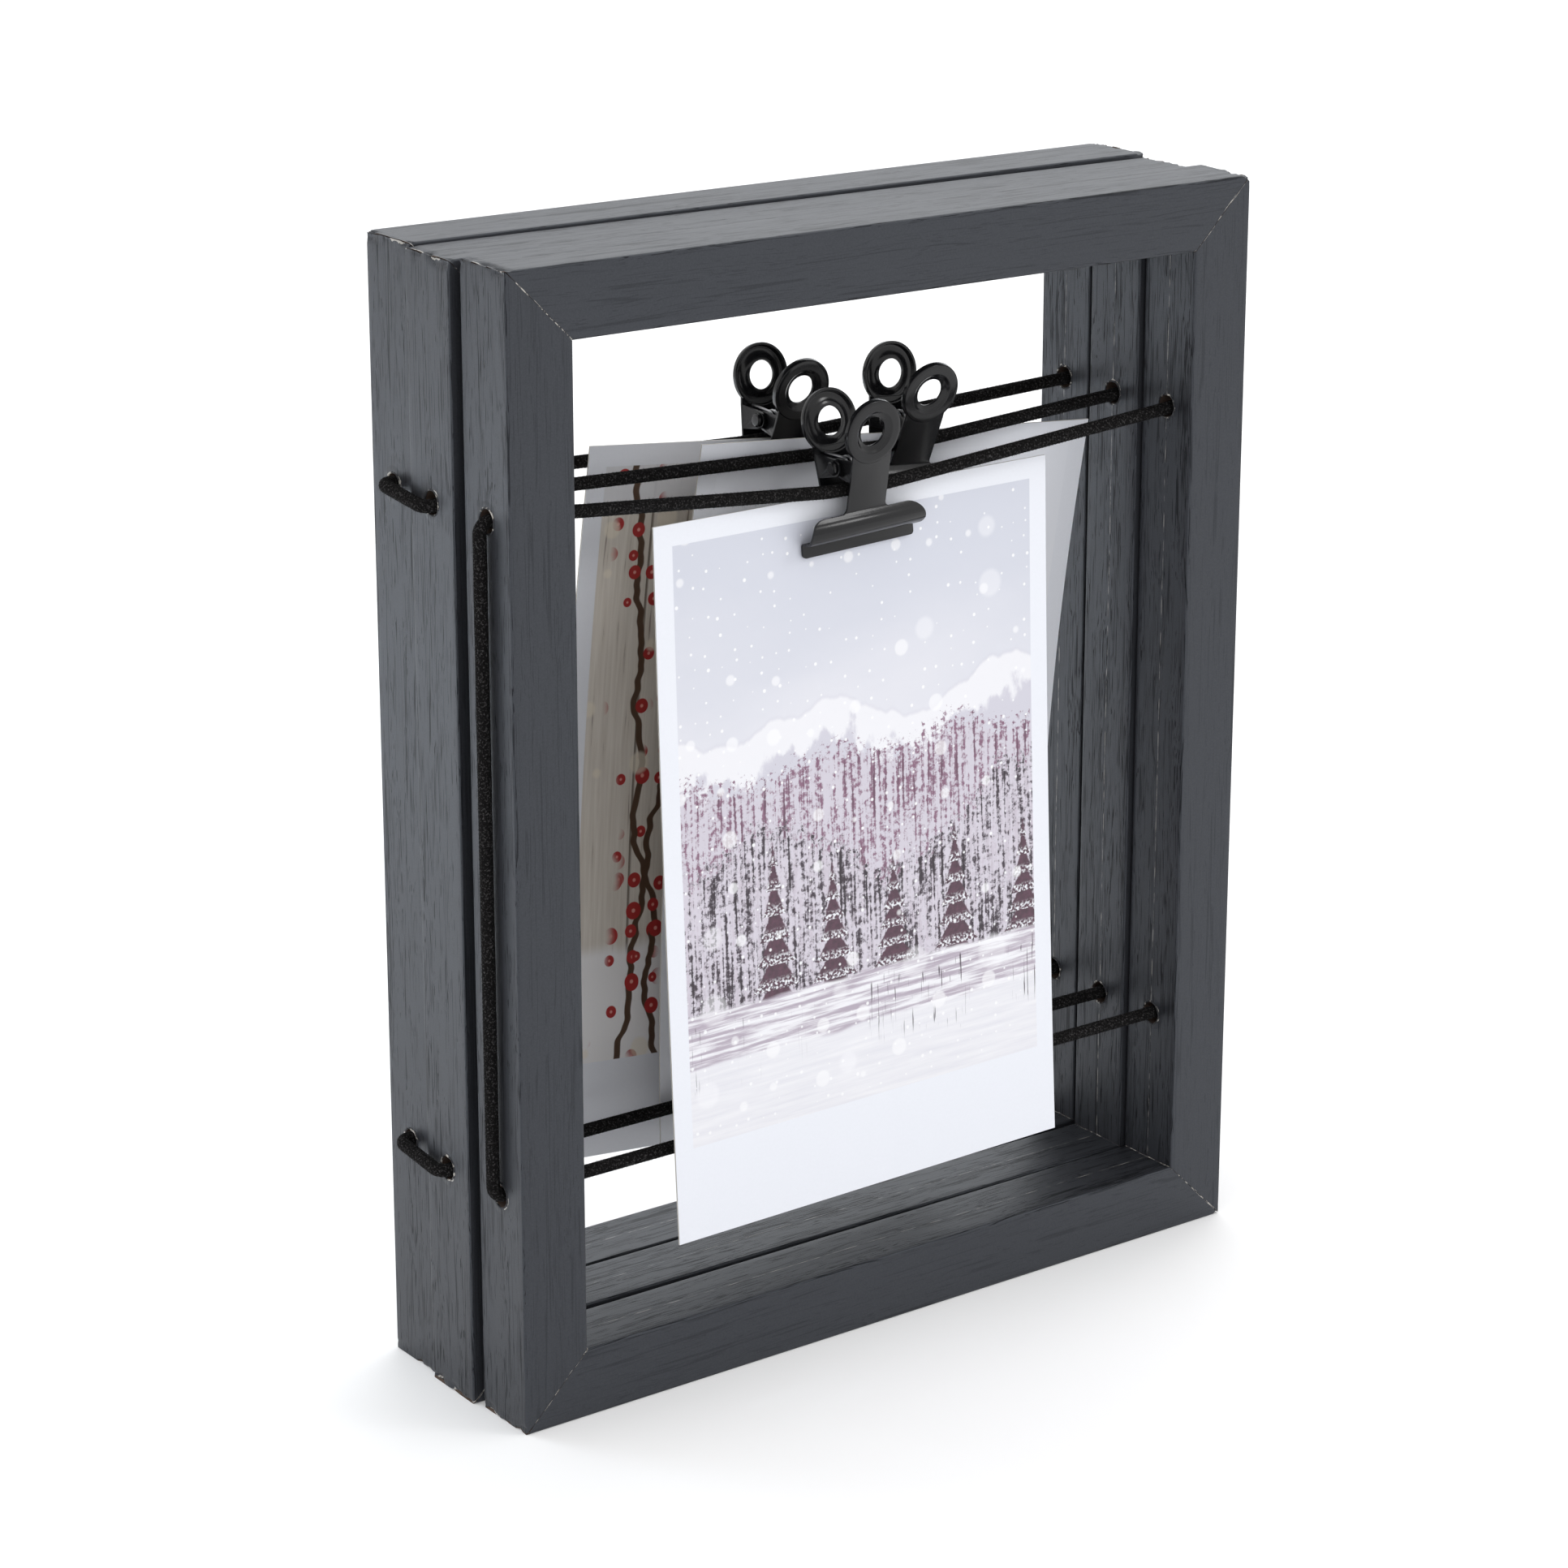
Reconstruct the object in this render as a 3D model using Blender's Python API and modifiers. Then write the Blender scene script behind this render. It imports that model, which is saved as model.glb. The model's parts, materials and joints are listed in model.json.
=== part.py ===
"""A folding wooden photo frame: three mitred panels laced together with elastic cord, with clips and cards.

The panels stand zig-zag. The back panel folds about the cord ties at the left of the middle panel, and the front
panel about those at the right. Lengths are in metres, +X to the right, +Y to the back, +Z up, and the origin is
under the middle of the folded frame. Each clip is drawn in its own frame, with the hinge pin at the origin.
"""

import math
from collections import namedtuple

import bmesh
import bpy
import numpy as np
from mathutils import Matrix, Vector

MM = 0.001

# Photo cards, and the room that a hanging card has to the stiles and to the bottom rail. They set the panels' size
CARD_WIDTH = 102 * MM
CARD_HEIGHT = 152 * MM
CARD_THICKNESS = 0.4 * MM
CARD_SIDE_ROOM = 27.5 * MM
CARD_FOOT_ROOM = 23 * MM

# The moulding of the wooden panels
MOULDING_FACE = 15 * MM
MOULDING_DEPTH = 16.3 * MM
MOULDING_EDGE_RADIUS = 0.6 * MM
MITRE_GAP = 0.2 * MM

# Folding: the gap that the cord keeps between folded panels, how far open they stand, how far the outer panels stand
# to the right of the middle one, and how much lower the middle one is
FOLD_GAP = 0.3 * MM
SIDE_STEP = 1.2 * MM
MIDDLE_TRIM = 0.6 * MM
FOLD_AXIS_OVERHANG = 0.4 * MM
STANDING_OPEN = math.radians(0.55)

# V-nails, one across each mitre
NAIL_LEG = 5.0 * MM
NAIL_THICKNESS = 0.5 * MM
NAIL_LENGTH = 9.0 * MM
NAIL_RECESS = 0.4 * MM
NAIL_HALF_ANGLE = math.radians(55)

# Elastic cord and the holes that it is laced through
CORD_DIAMETER = 2.8 * MM
CORD_HOLE_PLAY = 1.1 * MM
CORD_HOLE_INSET = 50 * MM

# Bulldog clips: bent plates, eyelet handles, ears on a pin, and a torsion spring
PLATE_THICKNESS = 0.5 * MM
JAW_WIDTH = 29.6 * MM
JAW_DROP = 17.2 * MM
JAW_CORNER = 4.0 * MM
LIP_HEIGHT = 3.0 * MM
LIP_INSET = 0.4 * MM
LIP_CORNER = 0.8 * MM
LIP_FLARE = 0.2 * MM
BULGE_RADIUS = 2.6 * MM
BULGE_OUT = 5.0 * MM
NECK_WIDTH = 9.8 * MM
NECK_FILLET = 1.2 * MM
NECK_FOOT_DROP = 8.7 * MM
NECK_LEAN = math.radians(13.5)
HANDLE_LEAN = math.radians(10)
RING_RADIUS = 6.85 * MM
RING_HEIGHT = 8.0 * MM
RING_STEP = 0.6 * MM
RIM_DEPTH = 1.3 * MM
EYE_RADIUS = 3.1 * MM
EYE_DEPTH = 0.8 * MM
EAR_RADIUS = 1.9 * MM
EAR_FOOT_DROP = 3.0 * MM
EAR_HEAD_RISE = 2.0 * MM
PIN_RADIUS = 0.9 * MM
PIN_HEAD_RADIUS = 1.5 * MM
PIN_HEAD_HEIGHT = 0.55 * MM
PIN_ABOVE_CORD = 4.5 * MM
SPRING_WIRE = 0.6 * MM
SPRING_RADIUS = 1.9 * MM
SPRING_PITCH = 1.3 * MM
SPRING_TURNS = 4
SPRING_LEG_RISE = 2.0 * MM

# What touching pieces keep between them, and how far a cutter runs past the wall
CLEARANCE = 0.3 * MM
CUT_PAST = 1.0 * MM

# Facets
EDGE_SEGMENTS = 3
ROUND_STEPS = 20
BORE_STEPS = 24
BEND_STEPS = 5
CURL_STEPS = 9
CARD_ROWS = 9
CARD_COLUMNS = 2

# Values that follow from those above
PANEL_WIDTH = CARD_WIDTH + 2 * (CARD_SIDE_ROOM + MOULDING_FACE)
PANEL_HEIGHT = CORD_HOLE_INSET + CARD_HEIGHT + CARD_FOOT_ROOM + MOULDING_FACE
PITCH = MOULDING_DEPTH + FOLD_GAP
CORD_RADIUS = CORD_DIAMETER / 2
HOLE_RADIUS = CORD_RADIUS + CORD_HOLE_PLAY
CORD_OFF_FACE = CORD_RADIUS + CLEARANCE
TIE_SLANT = CORD_HOLE_PLAY - CLEARANCE
HOLE_HEIGHTS = {"upper": PANEL_HEIGHT - CORD_HOLE_INSET, "lower": CORD_HOLE_INSET}
CARD_TO_CORD = CARD_THICKNESS / 2 + CLEARANCE + CORD_RADIUS
LIP_OUT = CARD_THICKNESS / 2 + CLEARANCE + PLATE_THICKNESS / 2
NECK_FOOT_OUT = CARD_TO_CORD + CORD_RADIUS + CLEARANCE + PLATE_THICKNESS / 2
CREASE_DROP = JAW_DROP - LIP_HEIGHT
OUTER_EAR_X = NECK_WIDTH / 2 - PLATE_THICKNESS * 0.6
INNER_EAR_X = OUTER_EAR_X - PLATE_THICKNESS - CLEARANCE
PIN_HALF_LENGTH = OUTER_EAR_X + PLATE_THICKNESS / 2 + CLEARANCE

# How each clip and card hangs: place along the cord, sag of the cord under it, the side of the cord that the card is
# on (1 behind it, -1 before it), lean of the clip (positive swings its foot back), roll (positive is clockwise from
# the front), yaw (positive swings its right side back), the card's own turn in the jaws, its shift sideways, its top
# edge above the cord, the side of the lower cord that it curls to, and how far it stands off that cord
Hanging = namedtuple("Hanging", "along sag side lean roll yaw card_turn card_shift card_rise foot_side foot_off")
HANGING = {
    "front": Hanging(-4.4 * MM, 6.1 * MM, 1, math.radians(-1.8), math.radians(-1.8), math.radians(1.3),
                     math.radians(1.7), 0.6 * MM, -1.0 * MM, -1, 2.0 * MM),
    "middle": Hanging(22.2 * MM, 3.5 * MM, 1, math.radians(6.2), math.radians(4.5), math.radians(-0.6),
                      math.radians(0), -0.3 * MM, 1.8 * MM, 1, 0.8 * MM),
    "back": Hanging(-2.0 * MM, 2.9 * MM, -1, math.radians(2.1), math.radians(5.2), math.radians(0.3),
                    math.radians(0.5), 4.0 * MM, 0.5 * MM, -1, 4.6 * MM),
}

# The parts and the shapes that cut them
PARTS = "folding_photo_frame"
CUTTERS = "cutters"


def clear_scene():
    for obj in list(bpy.data.objects):
        bpy.data.objects.remove(obj)
    for name in (PARTS, CUTTERS):
        bpy.context.scene.collection.children.link(bpy.data.collections.new(name))


def finish(name, colour, roughness, metallic=0.0):
    """A Principled material of one colour."""
    material = bpy.data.materials.new(name)
    material.use_nodes = True
    shader = material.node_tree.nodes["Principled BSDF"]
    shader.inputs["Base Color"].default_value = (*colour, 1)
    shader.inputs["Roughness"].default_value = roughness
    shader.inputs["Metallic"].default_value = metallic
    return material


def make_finishes():
    return {
        "foil": finish("charcoal_foil", (0.060, 0.064, 0.070), 0.55),
        "steel": finish("bright_steel", (0.55, 0.55, 0.56), 0.35, 1.0),
        "cord": finish("black_elastic", (0.012, 0.012, 0.013), 0.9),
        "enamel": finish("black_enamel", (0.018, 0.018, 0.020), 0.3),
        "card": finish("photo_card", (0.82, 0.84, 0.90), 0.45),
    }


def add_part(name, data, material):
    """A finished piece, in the collection of parts."""
    obj = bpy.data.objects.new(name, data)
    bpy.data.collections[PARTS].objects.link(obj)
    if not data.materials:
        data.materials.append(material)
    return obj


def add_cutter(name, data):
    """A shape that cuts or joins other shapes and isn't a piece itself."""
    obj = bpy.data.objects.new(name, data)
    obj.hide_render = True
    obj.display_type = "WIRE"
    bpy.data.collections[CUTTERS].objects.link(obj)
    return obj


def add_empty(name, matrix, parent=None):
    empty = bpy.data.objects.new(name, None)
    empty.parent = parent
    empty.matrix_local = matrix
    bpy.data.collections[PARTS].objects.link(empty)
    return empty


def boolean(obj, operation, operand):
    modifier = obj.modifiers.new(f"{operation.lower()}_{operand.name}", "BOOLEAN")
    modifier.operation = operation
    modifier.object = operand
    return modifier


def mesh_from(name, build):
    """A mesh filled by a function that works on a BMesh."""
    mesh = bpy.data.meshes.new(name)
    bm = bmesh.new()
    build(bm)
    bm.to_mesh(mesh)
    bm.free()
    return mesh


def baked(obj, matrix=None):
    """The mesh that an object evaluates to, welded and shaded. The object itself is removed."""
    bpy.context.view_layer.update()
    depsgraph = bpy.context.evaluated_depsgraph_get()
    mesh = bpy.data.meshes.new_from_object(obj.evaluated_get(depsgraph))
    mesh.name = obj.name
    bpy.data.objects.remove(obj)
    bm = bmesh.new()
    bm.from_mesh(mesh)
    bmesh.ops.remove_doubles(bm, verts=bm.verts, dist=1e-6)
    bmesh.ops.recalc_face_normals(bm, faces=bm.faces)
    if matrix:
        bmesh.ops.transform(bm, matrix=matrix, verts=bm.verts)
    bm.to_mesh(mesh)
    bm.free()
    shade(mesh)
    return mesh


def shade(mesh):
    mesh.shade_smooth()
    mesh.set_sharp_from_angle(angle=math.radians(40))


def arc(centre, radius, start, end, steps):
    """Points on a circle in a plane, angles in degrees."""
    angles = np.radians(np.linspace(start, end, steps + 1))
    return [(centre[0] + radius * math.cos(a), centre[1] + radius * math.sin(a)) for a in angles]


def prism(name, outline, thickness):
    """A flat outline, filled and given a thickness along Z, as a closed mesh."""
    curve = bpy.data.curves.new(name, "CURVE")
    curve.dimensions = "2D"
    curve.fill_mode = "BOTH"
    curve.extrude = thickness / 2
    spline = curve.splines.new("POLY")
    spline.points.add(len(outline) - 1)
    for point, (u, v) in zip(spline.points, outline):
        point.co = (u, v, 0, 1)
    spline.use_cyclic_u = True
    return baked(add_cutter(name, curve))


def turned(name, profile, closed, steps):
    """A profile of (radius, height) points turned about Z, running down its outer side."""

    def build(bm):
        verts = [bm.verts.new((radius, 0, height)) for radius, height in profile]
        for a, b in zip(verts, verts[1:] + verts[:1] if closed else verts[1:]):
            bm.edges.new((a, b))

    obj = add_cutter(name, mesh_from(name, build))
    screw = obj.modifiers.new("turn", "SCREW")
    screw.steps = screw.render_steps = steps
    screw.use_merge_vertices = True
    screw.merge_threshold = 1e-6
    return baked(obj)


def rounded_path(corners, radius):
    """A path through corners, each inner corner replaced by an arc of the given radius."""
    corners = [Vector(c) for c in corners]
    path = [corners[0]]
    for before, corner, after in zip(corners, corners[1:], corners[2:]):
        back, ahead = (before - corner).normalized(), (after - corner).normalized()
        half = back.angle(ahead) / 2
        bisector = (back + ahead).normalized()
        centre = corner + bisector * (radius / math.sin(half))
        start = corner + back * (radius / math.tan(half))
        end = corner + ahead * (radius / math.tan(half))
        for step in range(BEND_STEPS + 1):
            spoke = (start - centre).slerp(end - centre, step / BEND_STEPS)
            path.append(centre + spoke.normalized() * radius)
    return path + [corners[-1]]


def tube(name, path, diameter, resolution):
    """A round tube along a path, with closed ends."""
    curve = bpy.data.curves.new(name, "CURVE")
    curve.dimensions = "3D"
    curve.bevel_depth = diameter / 2
    curve.bevel_resolution = resolution
    curve.use_fill_caps = True
    spline = curve.splines.new("POLY")
    spline.points.add(len(path) - 1)
    for point, place in zip(spline.points, path):
        point.co = (*place, 1)
    spline.use_smooth = True
    return curve


class Panel:
    """Where a panel stands: an empty on its fold axis, and the panel's foot seen from that axis."""

    def __init__(self, name, side):
        self.name = name
        step = SIDE_STEP / 2 if side else -SIDE_STEP / 2
        self.height = PANEL_HEIGHT if side else PANEL_HEIGHT - MIDDLE_TRIM
        self.axis = Vector((-side * (PANEL_WIDTH / 2 + FOLD_AXIS_OVERHANG), side * PITCH / 2, 0))
        turn = Matrix.Rotation(STANDING_OPEN * abs(side), 4, "Z")
        hinge = Matrix.Translation(self.axis) @ turn
        self.empty = add_empty(f"{name}_fold_axis", hinge)
        self.foot = Matrix.Translation(Vector((step, side * PITCH, 0)) - self.axis)
        self.to_world = hinge @ self.foot
        self.nail_side = -side or 1

    def place(self, obj, matrix=Matrix.Identity(4)):
        """Puts a piece, given in the panel's own frame, on this panel."""
        obj.parent = self.empty
        obj.matrix_local = self.foot @ matrix
        return obj


def moulding(length):
    """A length of moulding on X with rounded long edges, its outer edge at Z 0, mitred at both ends."""

    def build(bm):
        bmesh.ops.create_cube(bm, size=1)
        bmesh.ops.scale(bm, vec=(length, MOULDING_DEPTH, MOULDING_FACE), verts=bm.verts)
        bmesh.ops.translate(bm, vec=(0, 0, MOULDING_FACE / 2), verts=bm.verts)
        long_edges = [e for e in bm.edges if abs(e.verts[0].co.x - e.verts[1].co.x) > length / 2]
        bmesh.ops.bevel(bm, geom=long_edges, offset=MOULDING_EDGE_RADIUS, segments=EDGE_SEGMENTS,
                        profile=0.5, affect="EDGES")
        for end in (-1, 1):
            everything = bm.verts[:] + bm.edges[:] + bm.faces[:]
            reach = length / 2 - MITRE_GAP / math.sqrt(2)
            cut = bmesh.ops.bisect_plane(bm, geom=everything, plane_co=(end * reach, 0, 0),
                                         plane_no=(end, 0, 1), clear_outer=True)
            rim = [g for g in cut["geom_cut"] if isinstance(g, bmesh.types.BMEdge)]
            bmesh.ops.edgeloop_fill(bm, edges=rim)
        bmesh.ops.recalc_face_normals(bm, faces=bm.faces)

    mesh = mesh_from("moulding", build)
    shade(mesh)
    return mesh


def v_strip(name, thickness, shallow, deep):
    """A V-shaped strip across the mitre of a lower left corner, between two depths along Y."""

    def build(bm):
        toward_inside = Vector((1, 0, 1)).normalized()
        across = Vector((1, 0, -1)).normalized()
        reach = NAIL_LEG * math.cos(NAIL_HALF_ANGLE)
        spread = NAIL_LEG * math.sin(NAIL_HALF_ANGLE)
        apex = toward_inside * (MOULDING_FACE / math.sqrt(2) - reach / 2)
        foot = apex + toward_inside * reach
        line = [foot + across * spread, apex, foot - across * spread]
        verts = [bm.verts.new(p + Vector((0, shallow, 0))) for p in line]
        edges = [bm.edges.new(pair) for pair in zip(verts, verts[1:])]
        drawn = bmesh.ops.extrude_edge_only(bm, edges=edges)
        moved = [g for g in drawn["geom"] if isinstance(g, bmesh.types.BMVert)]
        bmesh.ops.translate(bm, vec=(0, deep - shallow, 0), verts=moved)

    obj = add_cutter(name, mesh_from(name, build))
    wall = obj.modifiers.new("wall", "SOLIDIFY")
    wall.thickness = thickness
    wall.offset = 0
    wall.use_even_offset = True
    return baked(obj)


def bore_pair(name):
    """Two bores along X, at the heights of the cord's holes."""

    def build(bm):
        for height in HOLE_HEIGHTS.values():
            place = Matrix.Translation((0, 0, height)) @ Matrix.Rotation(math.pi / 2, 4, "Y")
            bmesh.ops.create_cone(bm, cap_ends=True, segments=BORE_STEPS, radius1=HOLE_RADIUS,
                                  radius2=HOLE_RADIUS, depth=MOULDING_FACE + 2 * CUT_PAST, matrix=place)

    return mesh_from(name, build)


def make_panel(panel, finishes):
    """Two rails and two stiles, mitred and V-nailed at the corners, with the stiles bored for the cord."""
    half_width, mid_height = PANEL_WIDTH / 2, panel.height / 2
    members = {
        "bottom_rail": (PANEL_WIDTH, (0, 0, 0), 0),
        "left_stile": (panel.height, (-half_width, 0, mid_height), 90),
        "top_rail": (PANEL_WIDTH, (0, 0, panel.height), 180),
        "right_stile": (panel.height, (half_width, 0, mid_height), -90),
    }
    corners = {
        "lower_left": ((-half_width, 0, 0), 0, ("bottom_rail", "left_stile")),
        "upper_left": ((-half_width, 0, panel.height), 90, ("left_stile", "top_rail")),
        "upper_right": ((half_width, 0, panel.height), 180, ("top_rail", "right_stile")),
        "lower_right": ((half_width, 0, 0), -90, ("right_stile", "bottom_rail")),
    }
    made = {}
    for member, (length, place, turn) in members.items():
        made[member] = add_part(f"{panel.name}_{member}", moulding(length), finishes["foil"])
        panel.place(made[member], Matrix.Translation(place) @ Matrix.Rotation(math.radians(turn), 4, "Y"))
    for stile, side in (("left_stile", -1), ("right_stile", 1)):
        bores = add_cutter(f"{panel.name}_{stile}_bores", bore_pair("bores"))
        panel.place(bores, Matrix.Translation((side * (half_width - MOULDING_FACE / 2), 0, 0)))
        boolean(made[stile], "DIFFERENCE", bores)
    face = panel.nail_side * MOULDING_DEPTH / 2
    head = face - panel.nail_side * NAIL_RECESS
    point = head - panel.nail_side * NAIL_LENGTH
    slot_ends = (face + panel.nail_side * CUT_PAST, point - panel.nail_side * CLEARANCE)
    for corner, (place, turn, joined) in corners.items():
        matrix = Matrix.Translation(place) @ Matrix.Rotation(math.radians(turn), 4, "Y")
        nail = add_part(f"{panel.name}_v_nail_{corner}", v_strip("v_nail", NAIL_THICKNESS, head, point),
                        finishes["steel"])
        panel.place(nail, matrix)
        slot = add_cutter(f"{panel.name}_slot_{corner}",
                          v_strip("v_slot", NAIL_THICKNESS + 2 * CLEARANCE, *slot_ends))
        panel.place(slot, matrix)
        for member in joined:
            boolean(made[member], "DIFFERENCE", slot)


def make_cord(name, path, finishes, panel):
    cord = add_part(name, tube(name, path, CORD_DIAMETER, 2), finishes["cord"])
    return panel.place(cord) if panel else cord


def make_crossings(panel, finishes):
    """The cord across a window: the upper run sags to its clip, and the lower one is straight."""
    end = PANEL_WIDTH / 2 - MOULDING_FACE / 2 - CLEARANCE / 2
    hanging = HANGING[panel.name]
    flat = NECK_WIDTH / 2 + CORD_DIAMETER
    upper, lower = HOLE_HEIGHTS["upper"], HOLE_HEIGHTS["lower"]
    under_clip = upper - hanging.sag
    sagging = rounded_path([(-end, 0, upper), (hanging.along - flat, 0, under_clip),
                            (hanging.along + flat, 0, under_clip), (end, 0, upper)], 10 * CORD_DIAMETER)
    make_cord(f"{panel.name}_upper_cord", sagging, finishes, panel)
    make_cord(f"{panel.name}_lower_cord", [(-end, 0, lower), (end, 0, lower)], finishes, panel)


def make_side_run(panel, side, finishes):
    """The cord's upright run on a stile's outer face, turned into the two holes at its ends."""
    inside = side * (PANEL_WIDTH / 2 - MOULDING_FACE / 2 + CLEARANCE / 2)
    outside = side * (PANEL_WIDTH / 2 + CORD_OFF_FACE)
    upper, lower = HOLE_HEIGHTS["upper"], HOLE_HEIGHTS["lower"]
    corners = [(inside, 0, upper), (outside, 0, upper), (outside, 0, lower), (inside, 0, lower)]
    make_cord(f"{panel.name}_side_cord", rounded_path(corners, HOLE_RADIUS), finishes, panel)


def make_ties(name, side, behind, before, finishes):
    """The cord from a hole in one panel to the same hole in the next, clear of the one that stands out further."""
    inside = side * (PANEL_WIDTH / 2 - MOULDING_FACE / 2 + CLEARANCE / 2)
    outside = side * (PANEL_WIDTH / 2 + CORD_OFF_FACE)
    for level, height in HOLE_HEIGHTS.items():
        corners = [behind.to_world @ Vector((inside, 0, height)),
                   behind.to_world @ Vector((outside + side * SIDE_STEP, 0, height + TIE_SLANT)),
                   before.to_world @ Vector((outside, 0, height - TIE_SLANT)),
                   before.to_world @ Vector((inside, 0, height))]
        make_cord(f"{name}_{level}_tie", rounded_path(corners, HOLE_RADIUS), finishes, None)


def neck_out(height):
    """How far the neck's middle stands from the card's plane, at a height from the pin."""
    return NECK_FOOT_OUT + (height + NECK_FOOT_DROP) * math.tan(NECK_LEAN)


def ring_centre():
    """The eyelet's centre in (outward, up), on the line that the handle bends to above the ears."""
    return neck_out(EAR_HEAD_RISE) + (RING_HEIGHT - EAR_HEAD_RISE) * math.tan(HANDLE_LEAN), RING_HEIGHT


def plate_profile():
    """The bent plate seen from its end, as (outward, up) points on the plate's middle, from lip to handle."""
    crease = -CREASE_DROP
    bulge = (BULGE_OUT - BULGE_RADIUS, crease + BULGE_RADIUS)
    past = PLATE_THICKNESS
    profile = [(LIP_OUT + LIP_FLARE, -JAW_DROP - past), (LIP_OUT, crease)]
    profile += arc(bulge, BULGE_RADIUS, -90, 40, 9)
    profile += [(neck_out(h), h) for h in (-NECK_FOOT_DROP, EAR_HEAD_RISE)]
    profile.append(ring_centre())
    return profile


def plate_outline():
    """The plate seen square on: lip, jaw with round shoulders, neck and the stump of the handle."""
    half, lip, neck = JAW_WIDTH / 2, JAW_WIDTH / 2 - LIP_INSET, NECK_WIDTH / 2
    crease = -CREASE_DROP
    jaw_top = -NECK_FOOT_DROP - CLEARANCE
    stump = RING_HEIGHT - (RING_RADIUS + EYE_RADIUS) / 2 * math.cos(HANDLE_LEAN)
    shoulder = (half - JAW_CORNER, jaw_top - JAW_CORNER)
    right = arc((lip - LIP_CORNER, -JAW_DROP + LIP_CORNER), LIP_CORNER, -90, 0, 3)
    right += [(lip, crease)]
    right += arc(shoulder, JAW_CORNER, 0, 90, 6)
    right += arc((neck + NECK_FILLET, jaw_top + NECK_FILLET), NECK_FILLET, 270, 180, 4)
    right += [(neck, stump + (RING_RADIUS - neck) / 2), (neck * 0.65, stump)]
    left = [(-u, v) for u, v in reversed(right)]
    return right + left


def ring_profile():
    """The dished eyelet as (radius, outward) points, clockwise: outer face out to in, then the inner face back."""
    rim, eye, sheet = RING_RADIUS, EYE_RADIUS, PLATE_THICKNESS
    crest_in, crest_out = eye + 1.5 * MM, rim - 0.8 * MM
    outer = [(eye, -EYE_DEPTH), (crest_in - 0.6 * MM, -EYE_DEPTH * 0.55), (crest_in, 0), (crest_out, 0),
             (rim - 0.15 * MM, -0.45 * MM), (rim, -RIM_DEPTH)]
    inner = [(rim - sheet, -RIM_DEPTH), (crest_out - 0.1 * MM, -sheet), (crest_in + 0.25 * MM, -sheet),
             (crest_in - 0.35 * MM, -EYE_DEPTH * 0.55 - sheet), (eye, -EYE_DEPTH - sheet)]
    return outer + inner


def ear_outline():
    """An ear seen from its side as (outward, up): a round end on the pin, widening to the neck."""
    foot = (neck_out(-EAR_FOOT_DROP), -EAR_FOOT_DROP)
    head = (neck_out(EAR_HEAD_RISE), EAR_HEAD_RISE)
    return arc((0, 0), EAR_RADIUS, 90, 270, 8) + [foot, head]


def jaw_plate(name, ear_x):
    """One stamped and bent plate of a clip, standing on the -Y side of the pin."""

    def build(bm):
        ends = [bm.verts.new((-JAW_WIDTH, -out, up)) for out, up in plate_profile()]
        edges = [bm.edges.new(pair) for pair in zip(ends, ends[1:])]
        drawn = bmesh.ops.extrude_edge_only(bm, edges=edges)
        moved = [g for g in drawn["geom"] if isinstance(g, bmesh.types.BMVert)]
        bmesh.ops.translate(bm, vec=(2 * JAW_WIDTH, 0, 0), verts=moved)

    sheet = add_cutter(name, mesh_from(name, build))
    wall = sheet.modifiers.new("wall", "SOLIDIFY")
    wall.thickness = PLATE_THICKNESS
    wall.offset = 0
    operands = []

    def join(operation, label, mesh, matrix):
        operand = add_cutter(label, mesh)
        operand.matrix_local = matrix
        boolean(sheet, operation, operand)
        operands.append(operand)

    deep = 4 * RING_RADIUS
    join("INTERSECT", "outline", prism("outline", plate_outline(), deep), Matrix.Rotation(math.pi / 2, 4, "X"))
    out, up = ring_centre()
    right, along = Vector((1, 0, 0)), Vector((0, -math.sin(HANDLE_LEAN), math.cos(HANDLE_LEAN)))
    outward = right.cross(along)
    stand = Matrix((right, along, outward)).transposed().to_4x4()
    stand.translation = Vector((0, -out, up)) + outward * RING_STEP
    join("UNION", "ring", turned("ring", ring_profile(), True, ROUND_STEPS), stand)
    sideways = Matrix(((0, 0, -1), (-1, 0, 0), (0, 1, 0))).to_4x4()
    for side in (-1, 1):
        ear = prism("ear", ear_outline(), PLATE_THICKNESS)
        join("UNION", f"ear_{side}", ear, Matrix.Translation((side * ear_x, 0, 0)) @ sideways)
    hole = PIN_RADIUS + CLEARANCE
    bore = turned("pin_hole", [(0, NECK_WIDTH), (hole, NECK_WIDTH), (hole, -NECK_WIDTH), (0, -NECK_WIDTH)],
                  False, ROUND_STEPS)
    join("DIFFERENCE", "pin_hole", bore, Matrix.Rotation(math.pi / 2, 4, "Y"))
    mesh = baked(sheet)
    for operand in operands:
        bpy.data.objects.remove(operand)
    return mesh


def hinge_pin():
    """A plain pin on X with a low rivet head at each end."""
    end, head, rise = PIN_HALF_LENGTH, PIN_HEAD_RADIUS, PIN_HEAD_HEIGHT
    top = [(0, end + rise), (head * 0.7, end + rise), (head, end + rise / 2), (head, end), (PIN_RADIUS, end)]
    profile = top + [(radius, -height) for radius, height in reversed(top)]
    mesh = turned("hinge_pin", profile, False, ROUND_STEPS)
    mesh.transform(Matrix.Rotation(math.pi / 2, 4, "Y"))
    return mesh


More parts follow.
